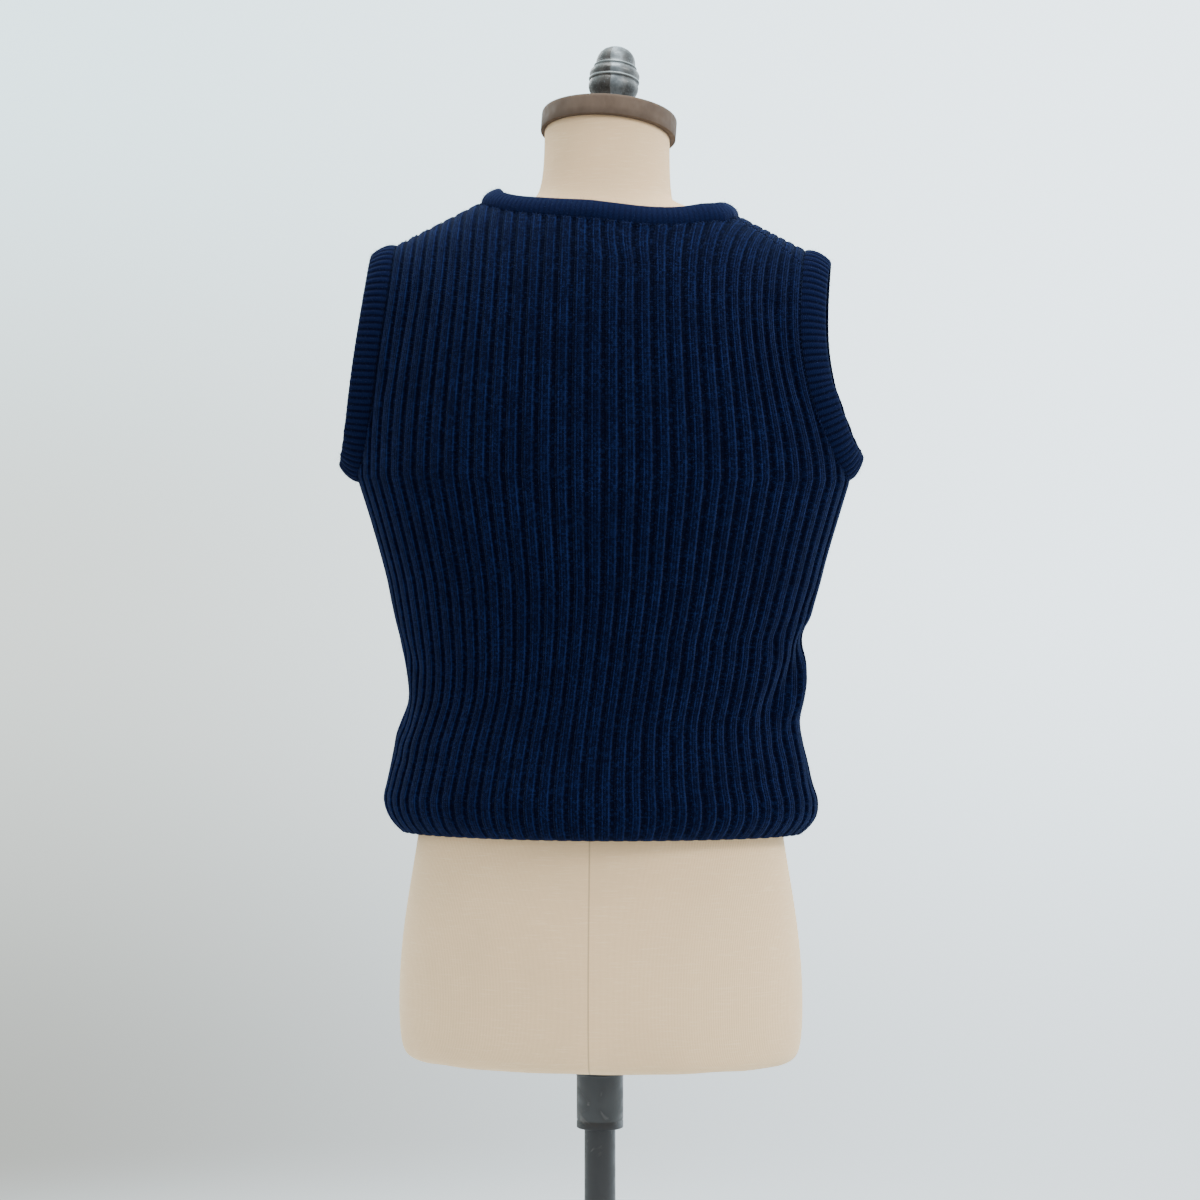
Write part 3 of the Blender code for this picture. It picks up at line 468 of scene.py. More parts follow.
def linen_material():
    """Unbleached linen: an even weave with some thicker threads, a little soiling and two seams."""
    linen = Finish("linen cover", Roughness=0.88, Specular_IOR_Level=0.15,
                   Sheen_Weight=0.15, Sheen_Roughness=0.5)
    x, y, z = linen.parts(linen.place)
    weft = linen.maths("SINE", linen.times(z, 2 * math.pi / THREAD_PITCH))
    warp = linen.maths("SINE", linen.times(linen.maths("ARCTAN2", y, x), WARP_THREADS))
    slub = linen.noise(linen.stretched(linen.place, (60, 60, 900)), 1.0, 3.0)
    slub_up = linen.noise(linen.stretched(linen.place, (900, 900, 40)), 1.0, 3.0)
    soil = linen.noise(linen.place, 9.0, 4.0)
    weave = linen.add(linen.times(weft, slub), linen.times(warp, slub_up))
    base = linen.mix(linen.graded(weave, -0.7, 0.9), (0.70, 0.46, 0.25), (0.96, 0.70, 0.40))
    base = linen.mix(linen.graded(slub, 0.52, 0.75, 0.0, 0.30), base, (0.97, 0.78, 0.50))
    base = linen.mix(linen.graded(soil, 0.42, 0.78, 0.0, 0.28), base, (0.60, 0.42, 0.24))
    middle, side = (linen.graded(linen.apart(part, edge), 0.0011, 0.0002)
                    for part, edge in ((x, 0.0), (y, SIDE_SEAM_Y)))
    seams = linen.times(linen.maths("MAXIMUM", middle, side), linen.graded(z, 0.90, 0.88))
    base = linen.mix(linen.times(seams, 0.55), base, (0.30, 0.21, 0.13))
    weave = linen.less(weave, linen.times(seams, 4.0))
    return linen.surface(base, linen.add(weave, slub), 0.4, 0.0003)


def in_cap_frame(finish):
    """Object coordinates turned and moved so that the tilted cap lies level at their origin."""
    moved = finish.node("VectorMath", {0: finish.place, 1: tuple(CAP_CENTRE)}, operation="SUBTRACT")
    turn = tuple(CAP_TILT.inverted().to_euler())
    return finish.node("Mapping", {"Vector": moved.outputs[0], "Rotation": turn}).outputs[0]


def cap_material():
    """Brown paint on turned wood, worn a little along its top edge."""
    brown = Finish("brown neck cap", Specular_IOR_Level=0.12)
    local = in_cap_frame(brown)
    x, y, z = brown.parts(local)
    grain = brown.noise(brown.stretched(local, (260, 30, 120)), 1.0, 5.0)
    wear = brown.noise(local, 130.0, 5.0)
    patches = brown.noise(local, 22.0, 3.0)
    base = brown.mix(grain, (0.060, 0.041, 0.029), (0.103, 0.073, 0.053))
    base = brown.mix(brown.graded(patches, 0.4, 0.7, 0.0, 0.6), base, (0.120, 0.088, 0.065))
    radius = brown.node("VectorMath", {0: brown.joined(x, y)}, operation="LENGTH").outputs["Value"]
    at_rim = brown.times(brown.graded(radius, 0.0565, 0.0603), brown.graded(z, 0.0148, 0.0181))
    rubbed = brown.times(at_rim, brown.graded(wear, 0.48, 0.70, 0.0, 0.55))
    base = brown.mix(rubbed, base, (0.20, 0.13, 0.085))
    return brown.surface(base, grain, 0.25, 0.0006, roughness=brown.graded(wear, 0.3, 0.7, 0.60, 0.80))


def cast_material():
    """Dull cast metal, cloudy: darker left of its casting line, a painted highlight as a pale strip beside
    it, painted highlights on two lips.
    """
    cast = Finish("cast grey metal", Metallic=0.55, Specular_IOR_Level=0.5)
    cloud = cast.noise(cast.place, 90.0, 6.0)
    grain = cast.noise(cast.place, 650.0, 4.0)
    sideways = cast.add(cast.parts(cast.place)[0], cast.times(cast.less(cloud, 0.5), 0.006))
    # Painted highlight: a pale strip on the -X side of the casting line, fading outwards; pale below is its
    # colour
    highlight_strip = cast.times(cast.graded(sideways, CAST_LINE_X + 0.0004, CAST_LINE_X - 0.0012),
                       cast.graded(sideways, CAST_LINE_X - 0.0130, CAST_LINE_X - 0.0060, 0.20, 1.0))
    clouded = cast.graded(cloud, 0.32, 0.68)
    base = cast.mix(clouded, (0.028, 0.027, 0.025), (0.078, 0.077, 0.071))
    pale = cast.mix(clouded, (0.070, 0.084, 0.091), (0.185, 0.215, 0.230))
    base = cast.mix(highlight_strip, base, pale)
    joint = cast.graded(cast.apart(sideways, CAST_LINE_X), 0.0006, 0.0001)
    base = cast.mix(cast.times(joint, 0.3), base, (0.22, 0.25, 0.26))
    # Painted highlights along the two lips, at their heights over the cap
    level = cast.less(cast.parts(in_cap_frame(cast))[2], CAP_HEIGHT + PIECE_GAP)
    for lip in LIP_HIGHLIGHTS:
        near = cast.graded(cast.apart(level, lip), 0.0011, 0.0003, 0.0, 0.75)
        base = cast.mix(near, base, (0.27, 0.31, 0.31))
    base = cast.mix(cast.graded(grain, 0.54, 0.74, 0.0, 0.4), base, (0.20, 0.235, 0.25))
    height = cast.add(cast.add(grain, cloud), joint)
    return cast.surface(base, height, 0.35, 0.0005, roughness=cast.graded(cloud, 0.3, 0.7, 0.58, 0.40))


def stand_material():
    """Satin black paint on iron, with a fine orange-peel surface and small scuffs."""
    black = Finish("black stand", Specular_IOR_Level=0.4)
    peel = black.noise(black.place, 420.0, 2.0)
    scuff = black.noise(black.place, 38.0, 8.0, Distortion=1.5)
    base = black.mix(black.graded(scuff, 0.60, 0.72, 0.0, 0.8), (0.016, 0.016, 0.017), (0.075, 0.072, 0.070))
    return black.surface(base, peel, 0.18, 0.0004, roughness=black.graded(scuff, 0.4, 0.7, 0.36, 0.58))


# The knit's form
def table(columns, rows):
    """Turns rows with named columns into one array for each name."""
    return dict(zip(columns, np.array(rows, float).T))


def smooth_read(at, known, values):
    """Reads a smooth curve through known points at the places asked for."""
    slopes = np.gradient(values, known)
    i = np.clip(np.searchsorted(known, at) - 1, 0, len(known) - 2)
    span = known[i + 1] - known[i]
    t = np.clip((at - known[i]) / span, 0.0, 1.0)
    start = (1 + 2 * t) * (1 - t) ** 2 * values[i] + t * (1 - t) ** 2 * span * slopes[i]
    end = t * t * (3 - 2 * t) * values[i + 1] + t * t * (t - 1) * span * slopes[i + 1]
    return start + end


def ease(t):
    t = np.clip(t, 0.0, 1.0)
    return t * t * (3 - 2 * t)


def unit(vectors):
    return vectors / np.linalg.norm(vectors, axis=-1, keepdims=True)


VEST = table(VEST_COLUMNS, VEST_ROWS)
ARMHOLE = table(ARMHOLE_COLUMNS, ARMHOLE_ROWS)
NECK = table(NECK_COLUMNS, NECK_ROWS)
FOLDS = [dict(zip(FOLD_COLUMNS, row)) for row in FOLD_ROWS + CREASE_ROWS]


def quarter(half, depth, share):
    """Points of a quarter of a body section, by their share of its length from the centre line."""
    turn = np.linspace(0.0, 1.0, SAMPLES) ** 1.4 * math.pi / 2
    xs = half[..., None] * np.sin(turn) ** (2 / SECTION_ROUND)
    ys = depth[..., None] * np.cos(turn).clip(0) ** (2 / SECTION_ROUND)
    steps = np.hypot(np.diff(xs), np.diff(ys))
    lengths = np.concatenate([np.zeros(steps.shape[:-1] + (1,)), np.cumsum(steps, axis=-1)], axis=-1)
    wanted = np.clip(share, 0, 1) * lengths[..., -1]
    i = np.clip((lengths < wanted[..., None]).sum(axis=-1) - 1, 0, SAMPLES - 2)[..., None]
    pick = [np.take_along_axis(a, j, axis=-1)[..., 0] for a in (lengths, xs, ys) for j in (i, i + 1)]
    t = (wanted - pick[0]) / (pick[1] - pick[0])
    return pick[2] + t * (pick[3] - pick[2]), pick[4] + t * (pick[5] - pick[4])


def ridge(x):
    """Height of the shoulder ridge at a distance from the centre line."""
    return RIDGE_NECK_Z - np.where(x > NECK_CORNER_X, RIDGE_FALL, RIDGE_RISE_TO_NECK) * (x - NECK_CORNER_X)


def rib_reach(ribs):
    """Distance from the centre line of a rib on the upper body."""
    return RIB_PITCH * ribs - RIB_CLOSING * ribs ** 2


def twist(z):
    return TWIST_RIBS * ease((TWIST_FROM_Z - z) / TWIST_OVER)


def plain_cloth(k, run):
    """Point of the unfolded knit's outer surface."""
    k, run = np.broadcast_arrays(np.asarray(k, float), np.asarray(run, float))
    in_front = run > 2
    climb = np.where(in_front, 4 - run, run)
    z = HEM_Z + np.clip(climb, 0, 1) * (UNDERARM_Z - HEM_Z)
    around = np.where(in_front, np.where(k >= 0, 2 * SIDE_RIBS, -2 * SIDE_RIBS) - k, k) + twist(z)
    around = (around + 2 * SIDE_RIBS) % (4 * SIDE_RIBS) - 2 * SIDE_RIBS
    side = np.where(around >= 0, 1, -1)
    in_front = np.abs(around) > SIDE_RIBS
    ribs = np.where(in_front, 2 * SIDE_RIBS - np.abs(around), np.abs(around))
    left, right, back, front = (smooth_read(z, VEST["z"], VEST[name]) for name in VEST_COLUMNS[1:])
    half, depth = np.where(side > 0, left, right), np.where(in_front, front, back)
    x, y = quarter(half, depth, ribs / SIDE_RIBS)
    angle = np.clip(climb - 1, 0, 1) * math.pi / 2
    power = 2 / np.where(in_front, FRONT_ROUND, BACK_ROUND)
    rise, fall = np.sin(angle) ** power, np.cos(angle).clip(0) ** power
    upper = climb > 1
    x_top = rib_reach(ribs)
    inward = ease((ridge(x_top) - UNDERARM_Z) * rise / PITCH_BLEND)
    spread = np.where(ribs < NECK_DRAG_AT, NECK_DRAG_IN, NECK_DRAG_OUT)
    drag = NECK_DRAG * np.exp(-((ribs - NECK_DRAG_AT) / spread) ** 2) * (side < 0) * rise ** 8
    pull = np.where(side > 0, ARM_PULL[1], ARM_PULL[-1])
    pull = pull * ease((ribs - ARM_PULL_FROM) / (SHOULDER_RIBS - ARM_PULL_FROM)) * np.sin(math.pi * rise) ** 2
    ripple = RIPPLE_SHIFT * np.exp(-((k - RIPPLE_AT) / RIPPLE_SPREAD) ** 2) * ~in_front
    risen = UNDERARM_Z + (RIDGE_NECK_Z - UNDERARM_Z) * rise
    ripple = ripple * ease((risen - RIPPLE_Z) / RIPPLE_RUN) * ease((RIPPLE_TOP_Z - risen) / RIPPLE_RUN)
    x = np.where(upper, x + (x_top - x) * inward + drag + pull + side * ripple, x)
    reach = depth * (1 - np.clip(x / half, 0, 1) ** SECTION_ROUND) ** (1 / SECTION_ROUND)
    y = np.where(upper, reach * fall, y)
    z = np.where(upper, UNDERARM_Z + (ridge(x) - UNDERARM_Z) * rise, z)
    z = z + HANG * side * x * ease((z - HANG_FROM_Z) / HANG_OVER)
    return np.stack([side * x, np.where(in_front, -y, y), z], axis=-1)


def outward(k, run):
    """Direction square to the knit, away from the body."""
    along = plain_cloth(k, run + STEP) - plain_cloth(k, run - STEP)
    across = plain_cloth(k + 10 * STEP, run) - plain_cloth(k - 10 * STEP, run)
    return unit(np.cross(along, across))


def fold_height(k, run):
    """Height of all the folds at a place, measured across each one."""
    total = np.zeros(np.broadcast(k, run).shape)
    rib, body = RIB_PITCH, UNDERARM_Z - HEM_Z
    for fold in FOLDS:
        start = np.array([fold["k_from"] * rib, fold["run_from"] * body])
        way = np.array([fold["k_to"] * rib, fold["run_to"] * body]) - start
        length = np.hypot(*way)
        dx, dz = k * rib - start[0], run * body - start[1]
        along = (dx * way[0] + dz * way[1]) / length
        beside = (dx * way[1] - dz * way[0]) / length
        past = np.maximum(np.abs(along - length / 2) - length / 2, 0)
        total = total + fold["height"] * np.exp(-(beside ** 2 + past ** 2) / fold["half_width"] ** 2)
    return total


def cloth(k, run, depth=0.0):
    """Point of the knit at a depth under its rib crests, with its folds."""
    k, run = np.broadcast_arrays(np.asarray(k, float), np.asarray(run, float))
    lift = fold_height(k, run) - depth
    return plain_cloth(k, run) + outward(k, run) * lift[..., None]


def climb_to_height(k, z, roundness):
    """How far along a rib, from 0 at the hem to 2 at the ridge, a height lies."""
    reach = rib_reach(abs(k))
    level = z - HANG * math.copysign(reach, k) * float(ease((z - HANG_FROM_Z) / HANG_OVER))
    if level <= UNDERARM_Z:
        return (level - HEM_Z) / (UNDERARM_Z - HEM_Z)
    share = min((level - UNDERARM_Z) / (float(ridge(reach)) - UNDERARM_Z), 1.0)
    return 1 + math.asin(share ** (roundness / 2)) / (math.pi / 2)


def shoulder_seam_run(k):
    """Where a rib crosses the shoulder seam."""
    side = 1 if k >= 0 else -1
    reach = rib_reach(abs(k))
    half = VEST["left" if side > 0 else "right"][-1]
    deep = VEST["back"][-1] * (1 - (reach / half) ** SECTION_ROUND) ** (1 / SECTION_ROUND)
    return 1 + math.acos((SHOULDER_SEAM_Y[side] / deep) ** (BACK_ROUND / 2)) / (math.pi / 2)


def armhole_height(k, face):
    """Height at which a rib ends under the arm, or where the upper rows start: lower under the V."""
    dip = FRONT_DIP * float(ease(1 - abs(k) / NECK_RIBS)) if face == "front" else 0.0
    return float(smooth_read(max(abs(k), SHOULDER_RIBS), ARMHOLE["k"], ARMHOLE["z"])) - dip


def top_run(k, face):
    """Where a rib that reaches the shoulder or the neck ends."""
    if abs(k) >= NECK_RIBS:
        return shoulder_seam_run(k)
    if abs(k) > CORNER_START:
        turn = (NECK_RIBS - abs(k)) / (NECK_RIBS - CORNER_START)
        edge = top_run(math.copysign(CORNER_START, k), face)
        return shoulder_seam_run(k) * (1 - turn) + edge * turn
    if face == "back":
        return climb_to_height(k, float(smooth_read(k, NECK["k"], NECK["z"])), BACK_ROUND)
    edge_z = V_POINT_Z + (RIDGE_NECK_Z - V_POINT_Z) * (abs(k) / NECK_RIBS) ** V_BOW
    return 4 - climb_to_height(k, edge_z, FRONT_ROUND)


def rib_runs(k, face):
    """The places along one rib where the panel's mesh has a row."""
    roundness = BACK_ROUND if face == "back" else FRONT_ROUND
    side_top = armhole_height(k, face)
    climbs = [climb_to_height(k, HEM_Z + share * (side_top - HEM_Z), roundness) for share in LOWER_SHARES]
    climbs[0] = 0.0
    runs = climbs if face == "back" else [4 - climb for climb in climbs]
    if abs(k) > SHOULDER_RIBS + 1e-6:
        return runs
    fine = np.linspace(runs[-1], top_run(k, face), 60)
    lengths = line_lengths(plain_cloth(k, fine))
    whole = lengths[-1] - (EDGE_GAP if abs(k) > CORNER_START else 0.0)
    return runs + list(np.interp(UPPER_SHARES * whole, lengths, fine))


def line_lengths(points):
    return np.concatenate([[0], np.cumsum(np.linalg.norm(np.diff(points, axis=0), axis=1))])


def place_ribs(k):
    """Keeps a panel's outermost rib line clear of the side seam."""
    limit = SIDE_RIBS - EDGE_GAP / RIB_PITCH
    return max(-limit, min(limit, k))


def rib_relief(place):
    """Depth under the crests at a place across a rib: a sunk groove, steep sides and a slightly domed top."""
    from_groove = min(place % 1.0, 1 - place % 1.0)
    dome = RIB_DOME * (1 - min(from_groove / 0.5, 1.0)) ** 1.5
    return RIB_DEPTH * (1 - float(ease((from_groove - GROOVE_HALF) / GROOVE_SIDE))) + dome


def relief_share(run):
    """How much of the rib relief is left: the knit is flatter over the shoulders and at its cast-off hem."""
    climb = 2 - np.abs(2 - run)
    shoulder = 1 - SHOULDER_FLATNESS * ease((climb - SHOULDER_FLAT_FROM) / SHOULDER_FLAT_OVER)
    return shoulder * (HEM_RELIEF + (1 - HEM_RELIEF) * ease(climb / HEM_RELIEF_OVER))


def outer_lines():
    """Rib places and depths of the outer mesh lines."""
    places = [rib + place for rib in range(-SIDE_RIBS, SIDE_RIBS) for place in RIB_LINES] + [float(SIDE_RIBS)]
    return [(k, rib_relief(k)) for k in places]


def inner_lines():
    places = {rib + place for rib in range(-SIDE_RIBS, SIDE_RIBS) for place in INNER_RIB_LINES}
    places |= {float(SIDE_RIBS)} | {side * k for side in (1, -1) for k in CORNER_LINES}
    return [(k, WALL) for k in sorted(places)]


# Sheets of knit
def knit_object(name, verts, faces, uvs, finish):
    """A sheet's object, with its knit map and outward faces."""
    data = bpy.data.meshes.new(name)
    data.from_pydata([tuple(v) for v in verts], [], faces)
    layer = data.uv_layers.new(name="knit")
    corner = np.empty(len(data.loops), np.int32)
    data.loops.foreach_get("vertex_index", corner)
    layer.data.foreach_set("uv", np.array(uvs, np.float32)[corner].ravel())
    mesh = bmesh.new()
    mesh.from_mesh(data)
    bmesh.ops.recalc_face_normals(mesh, faces=mesh.faces)
    mesh.to_mesh(data)
    mesh.free()
    data.shade_smooth()
    data.materials.append(finish)
    return linked(name, data)


def bridge(faces, near, far):
    """Fills the strip between two edge lines, each a list of (place, vertex) in step."""
    i = j = 0
    while i < len(near) - 1 or j < len(far) - 1:
        if j == len(far) - 1 or (i < len(near) - 1 and near[i + 1][0] <= far[j + 1][0] + 1e-9):
            faces.append((near[i][1], near[i + 1][1], far[j][1]))
            i += 1
        else:
            faces.append((near[i][1], far[j + 1][1], far[j][1]))
            j += 1


def panel_edges(places):
    """The border of a panel's grid, as runs of (step, (rib place, row))."""
    side, arm, low_top = float(SIDE_RIBS), float(SHOULDER_RIBS), len(LOWER_SHARES) - 1
    top = low_top + len(UPPER_SHARES)
    return [
        [(k, (k, 0)) for k in places],
        [(row, (side, row)) for row in range(low_top + 1)],
        [(row, (-side, row)) for row in range(low_top + 1)],
        [(k, (k, low_top)) for k in places if k >= arm],
        [(k, (k, low_top)) for k in places if k <= -arm],
        [(row, (arm, row)) for row in range(low_top, top + 1)],
        [(row, (-arm, row)) for row in range(low_top, top + 1)],
        [(k, (k, top)) for k in places if -arm <= k <= arm],
    ]


GRIDS = {}


def panel(name, face, finish):
    """One knitted panel: ribs outside, plain inside, closed along its edges."""
    verts, uvs, faces, borders = [], [], [], []
    for inside, lines in enumerate((outer_lines(), inner_lines())):
        first = {}
        for k, depth in lines:
            placed = place_ribs(k)
            runs = np.array(rib_runs(placed, face))
            points = cloth(placed, runs, depth if inside else depth * relief_share(runs))
            GRIDS[(face, inside, k)] = points
            measured = line_lengths(plain_cloth(placed, runs)) / RIB_PITCH
            first[k] = len(verts)
            verts.extend(points)
            uvs.extend((-k if face == "back" else k, v) for v in measured)
        places = [k for k, _ in lines]
        for left, right in zip(places[:-1], places[1:]):
            rows = min(len(GRIDS[(face, inside, left)]), len(GRIDS[(face, inside, right)]))
            a, b = first[left], first[right]
            faces.extend((a + row, b + row, b + row + 1, a + row + 1) for row in range(rows - 1))
        borders.append([[(step, first[k] + row) for step, (k, row) in edge] for edge in panel_edges(places)])
    for near, far in zip(*borders):
        bridge(faces, near, far)
    return knit_object(name, verts, faces, uvs, finish)


def hole_rail(side, hole):
    """Both faces of the whole edge round a hole, with a shared measure along it."""
    low_top = len(LOWER_SHARES) - 1
    top = low_top + len(UPPER_SHARES)
    rails = []
    for inside, lines in enumerate((outer_lines(), inner_lines())):
        places = [k for k, _ in lines]
        if hole == "arm":
            arm = float(SHOULDER_RIBS * side)
            keys = [(arm, row) for row in range(top, low_top, -1)]
            keys += [(k, low_top) for k in sorted((k for k in places if k * side >= SHOULDER_RIBS), key=abs)]
            steps = [top - row + abs(k) - SHOULDER_RIBS for k, row in keys]
        else:
            keys = [(k, top) for k in reversed([k for k in places if abs(k) <= NECK_RIBS])]
            steps = [NECK_RIBS - k for k, row in keys]
        level = WALL if inside else 0.0
        back, front = ([cloth(place_ribs(k), rib_runs_kept(k, face)[row], level) for k, row in keys]
                       for face in ("back", "front"))
        whole = 2 * steps[-1] + 1.0
        round_steps = np.array(steps + [whole - step for step in reversed(steps)])
        rails.append((round_steps, np.array(back + front[::-1])))
    return rails


KEPT_RUNS = {}


def rib_runs_kept(k, face):
    if (k, face) not in KEPT_RUNS:
        KEPT_RUNS[(k, face)] = rib_runs(place_ribs(k), face)
    return KEPT_RUNS[(k, face)]


def rail_frame(rails, toward):
    """Inner points beside a rail's outer line, and the directions that lead out of the panel's edge."""
    places, outer = rails[0]
    inner = np.stack([np.interp(places, rails[1][0], rails[1][1][:, i]) for i in range(3)], axis=1)
    square = unit(outer - inner)
    along = unit(np.roll(outer, -1, axis=0) - np.roll(outer, 1, axis=0))
    out = unit(np.cross(along, square))
    if (out @ np.array(toward, float)).sum() < 0:
        out = -out
    return inner, out


def closed_lengths(points):
    steps = np.linalg.norm(np.roll(points, -1, axis=0) - points, axis=1)
    return np.concatenate([[0], np.cumsum(steps)])


def read_round(lengths, values, at):
    """Reads values given round a closed line at any length along it."""
    closed = np.vstack([values, values[:1]])
    at = np.mod(at, lengths[-1])
    return np.stack([np.interp(at, lengths, closed[:, i]) for i in range(3)], axis=1)


def soften_round(values, times, weights=1.0):
    """Evens out values round a closed line, where their weights are above zero."""
    for _ in range(times):
        even = (np.roll(values, 1, axis=0) + 2 * values + np.roll(values, -1, axis=0)) / 4
        values = values + (even - values) * weights
    return values


BAND_OUT = (0.0, 0.03, 0.07, 0.12, 0.18, 0.26, 0.35, 0.45, 0.55, 0.65, 0.74, 0.82, 0.88, 0.925, 0.96, 0.982,
            0.995)
BAND_IN = (0.995, 0.982, 0.955, 0.91, 0.84, 0.72, 0.58, 0.42, 0.26, 0.12, 0.0)
SEAMS = {}


def unchanged(values):
    return values


def band(name, hole, rails, toward, ribs, width, lean, finish,
         free_shift=unchanged, softness=np.zeros_like, shape_free=unchanged):
    """A doubled strip knitted on round a hole, with fine ribs across it and a round free edge."""
    outer = rails[0][1]
    inner, out = rail_frame(rails, toward)
    lengths = closed_lengths(outer)
    count = ribs * STATIONS_PER_RIB[hole]
    stations = np.arange(count) / count * lengths[-1]
    free_at = free_shift(stations)
    seam_out, seam_in = read_round(lengths, outer, stations), read_round(lengths, inner, stations)
    seam_way = unit(soften_round(unit(read_round(lengths, out, stations)), 12))
    way = unit(soften_round(unit(lean(unit(read_round(lengths, out, free_at)), free_at / lengths[-1])), 12))
    middle = (read_round(lengths, outer, free_at) + read_round(lengths, inner, free_at)) / 2
    start = (seam_out + seam_in) / 2 + seam_way * BAND_GAP
    free = soften_round(middle + way * width, NECKBAND_SOFTENING, softness(stations)[:, None])
    reach = shape_free(free) - start
    along = np.roll(start + reach / 2, -1, axis=0) - np.roll(start + reach / 2, 1, axis=0)
    square = unit(soften_round(unit(np.cross(unit(along), unit(reach))), 8))
    if ((seam_out - seam_in) * square).sum() < 0:
        square = -square
    rib_phase = np.arange(count) / STATIONS_PER_RIB[hole]
    sunk = (0.5 - 0.5 * np.cos(2 * math.pi * rib_phase))[:, None] * FINE_RIB_DEPTH[hole]
    half = BAND_WALL / 2
    rings, uvs, travelled, last = [], [], np.zeros(count), None
    for face, shares in ((1, BAND_OUT), (-1, BAND_IN)):
        seam = (seam_out if face > 0 else seam_in) + seam_way * BAND_GAP
        for share in shares:
            full = half * (1.15 - 0.30 * share) if face > 0 else half * 0.85
            round_off = math.sqrt(max(1 - max((share - BAND_ROUND_FROM) / (1 - BAND_ROUND_FROM), 0) ** 2, 0))
            grip = float(ease(share / BAND_GRIP))
            bow = BAND_BOW * math.sin(math.pi * share ** 0.9)
            lift = bow + face * (full * round_off - sunk * grip * round_off ** 0.5)
            raised = start + reach * share + square * lift
            ring = seam * (1 - grip) + raised * grip
            if last is not None:
                travelled = travelled + np.linalg.norm(ring - last, axis=1)
            last = ring
            rings.append(ring)
            uvs.extend(zip(rib_phase, travelled / (lengths[-1] / ribs)))
    faces = []
    for r in range(len(rings)):
        a, b = r * count, (r + 1) % len(rings) * count
        faces.extend((a + i, a + (i + 1) % count, b + (i + 1) % count, b + i) for i in range(count))
    SEAMS[name] = (rails[0][0], outer, unit(outer - inner), out, hole)
    return knit_object(name, np.concatenate(rings), faces, uvs, finish)


def armband(name, side, finish):
    def lean(way, share):
        amount = np.interp(share, *np.array(ARMBAND_LEAN[side]).T)[:, None]
        return way * (1 - amount) + np.array([side, 0, 0]) * amount

    return band(name, "arm", hole_rail(side, "arm"), (side, 0, 0), ARMBAND_RIBS, ARMBAND_WIDTH, lean, finish)


def neckband(name, finish):
    rails = hole_rail(1, "neck")
    outer = rails[0][1]
    lengths = closed_lengths(outer)
    lowest = int(np.argmin(outer[:, 2]))

    def lean(way, share):
        flatness = np.clip(way[:, 2:3], 0, 1)
        amount = NECKBAND_UPRIGHT * (1 - flatness)
        return way * (1 - amount) + np.array([0, 0, 1]) * amount

    def free_shift(at):
        edge = unit(outer[lowest + 12] - outer[lowest])
        slope = abs(edge[0]) / math.hypot(edge[0], edge[2])
        upright = NECKBAND_UPRIGHT * (1 - slope)
        aside, climb = math.sqrt(1 - slope ** 2) * (1 - upright), slope * (1 - upright) + upright
        mitre = NECKBAND_WIDTH * aside / math.hypot(aside, climb) / slope
        from_point = at - lengths[lowest]
        fade = np.clip(1 - np.abs(from_point) / NECKBAND_MITRE_RUN, 0, 1) ** 1.5
        return at + np.where(from_point >= 0, 1, -1) * mitre * fade

    def softness(at):
        return np.clip(np.abs(at - lengths[lowest]) / NECKBAND_MITRE_RUN - 0.5, 0, 1)

    def shape_free(free):
        """The band rolls in at the left shoulder and stands a little higher before the right one."""
        roll = np.exp(-((free[:, 0] - NECK_ROLL_X) / NECK_ROLL_SPREAD) ** 2)
        lift = np.exp(-((free[:, 0] - NECK_LIFT_X) / NECK_LIFT_SPREAD) ** 2)
        lift = lift * ease((free[:, 1] - NECK_LIFT_FROM_Y) / NECK_LIFT_OVER)
        moved = free.copy()
        moved[:, 0] -= NECK_ROLL * roll
        moved[:, 2] += NECK_LIFT * lift
        return moved

    return band(name, "neck", rails, (0, 0, 1), NECKBAND_RIBS, NECKBAND_WIDTH, lean, finish,
                free_shift, softness, shape_free)


# Seam yarn and loose wool
def strands(name, points, radii, sides, finish):
    """Many short closed strands in one piece: points (strand, step, 3) and a radius for each step."""
    count, steps = points.shape[:2]
    along = unit(np.gradient(points, axis=1))
    helper = np.where(np.abs(along[:, :1, 2:3]) > 0.8, np.array([1.0, 0, 0]), np.array([0, 0, 1.0]))
    first = unit(np.cross(along, np.broadcast_to(helper, along.shape)))
    second = np.cross(along, first)
    turn = np.arange(sides) / sides * 2 * math.pi
    ring = first[:, :, None] * np.cos(turn)[:, None] + second[:, :, None] * np.sin(turn)[:, None]
    verts = (points[:, :, None] + ring * radii[None, :, None, None]).reshape(-1, 3)
    pattern = []
    for step in range(steps - 1):
        a, b = step * sides, (step + 1) * sides
        pattern += [(a + i, a + (i + 1) % sides, b + (i + 1) % sides, b + i) for i in range(sides)]
    pattern = np.array(pattern)
    faces = (pattern[None] + (np.arange(count) * steps * sides)[:, None, None]).reshape(-1, 4).tolist()
    for start in np.arange(count) * steps * sides:
        faces.append(list(range(start + sides - 1, start - 1, -1)))
        faces.append(list(range(start + (steps - 1) * sides, start + steps * sides)))
    data = bpy.data.meshes.new(name)
    data.from_pydata(verts.tolist(), [], faces)
    data.shade_smooth()
    data.materials.append(finish)
    return linked(name, data)


def stitch_points(line, up, across, pitch, reach, rise, slant=0.45):
    """Middle lines of the slanted stitches over a seam, one at every pitch along it."""
    lengths = line_lengths(line)
    count = max(int(lengths[-1] / pitch), 1)
    at = (np.arange(count) + 0.5) * lengths[-1] / count
    spot, high, wide = (np.stack([np.interp(at, lengths, values[:, i]) for i in range(3)], axis=1)
                        for values in (line, up, across))
    high, wide = unit(high), unit(wide)
    forward = unit(np.cross(high, wide))
    share = np.linspace(-1, 1, 6)
    arch = rise * (1 - 1.6 * share ** 2)
    return (spot[:, None] + wide[:, None] * (share * reach)[None, :, None]
            + forward[:, None] * (share * slant * pitch)[None, :, None]
            + high[:, None] * arch[None, :, None])


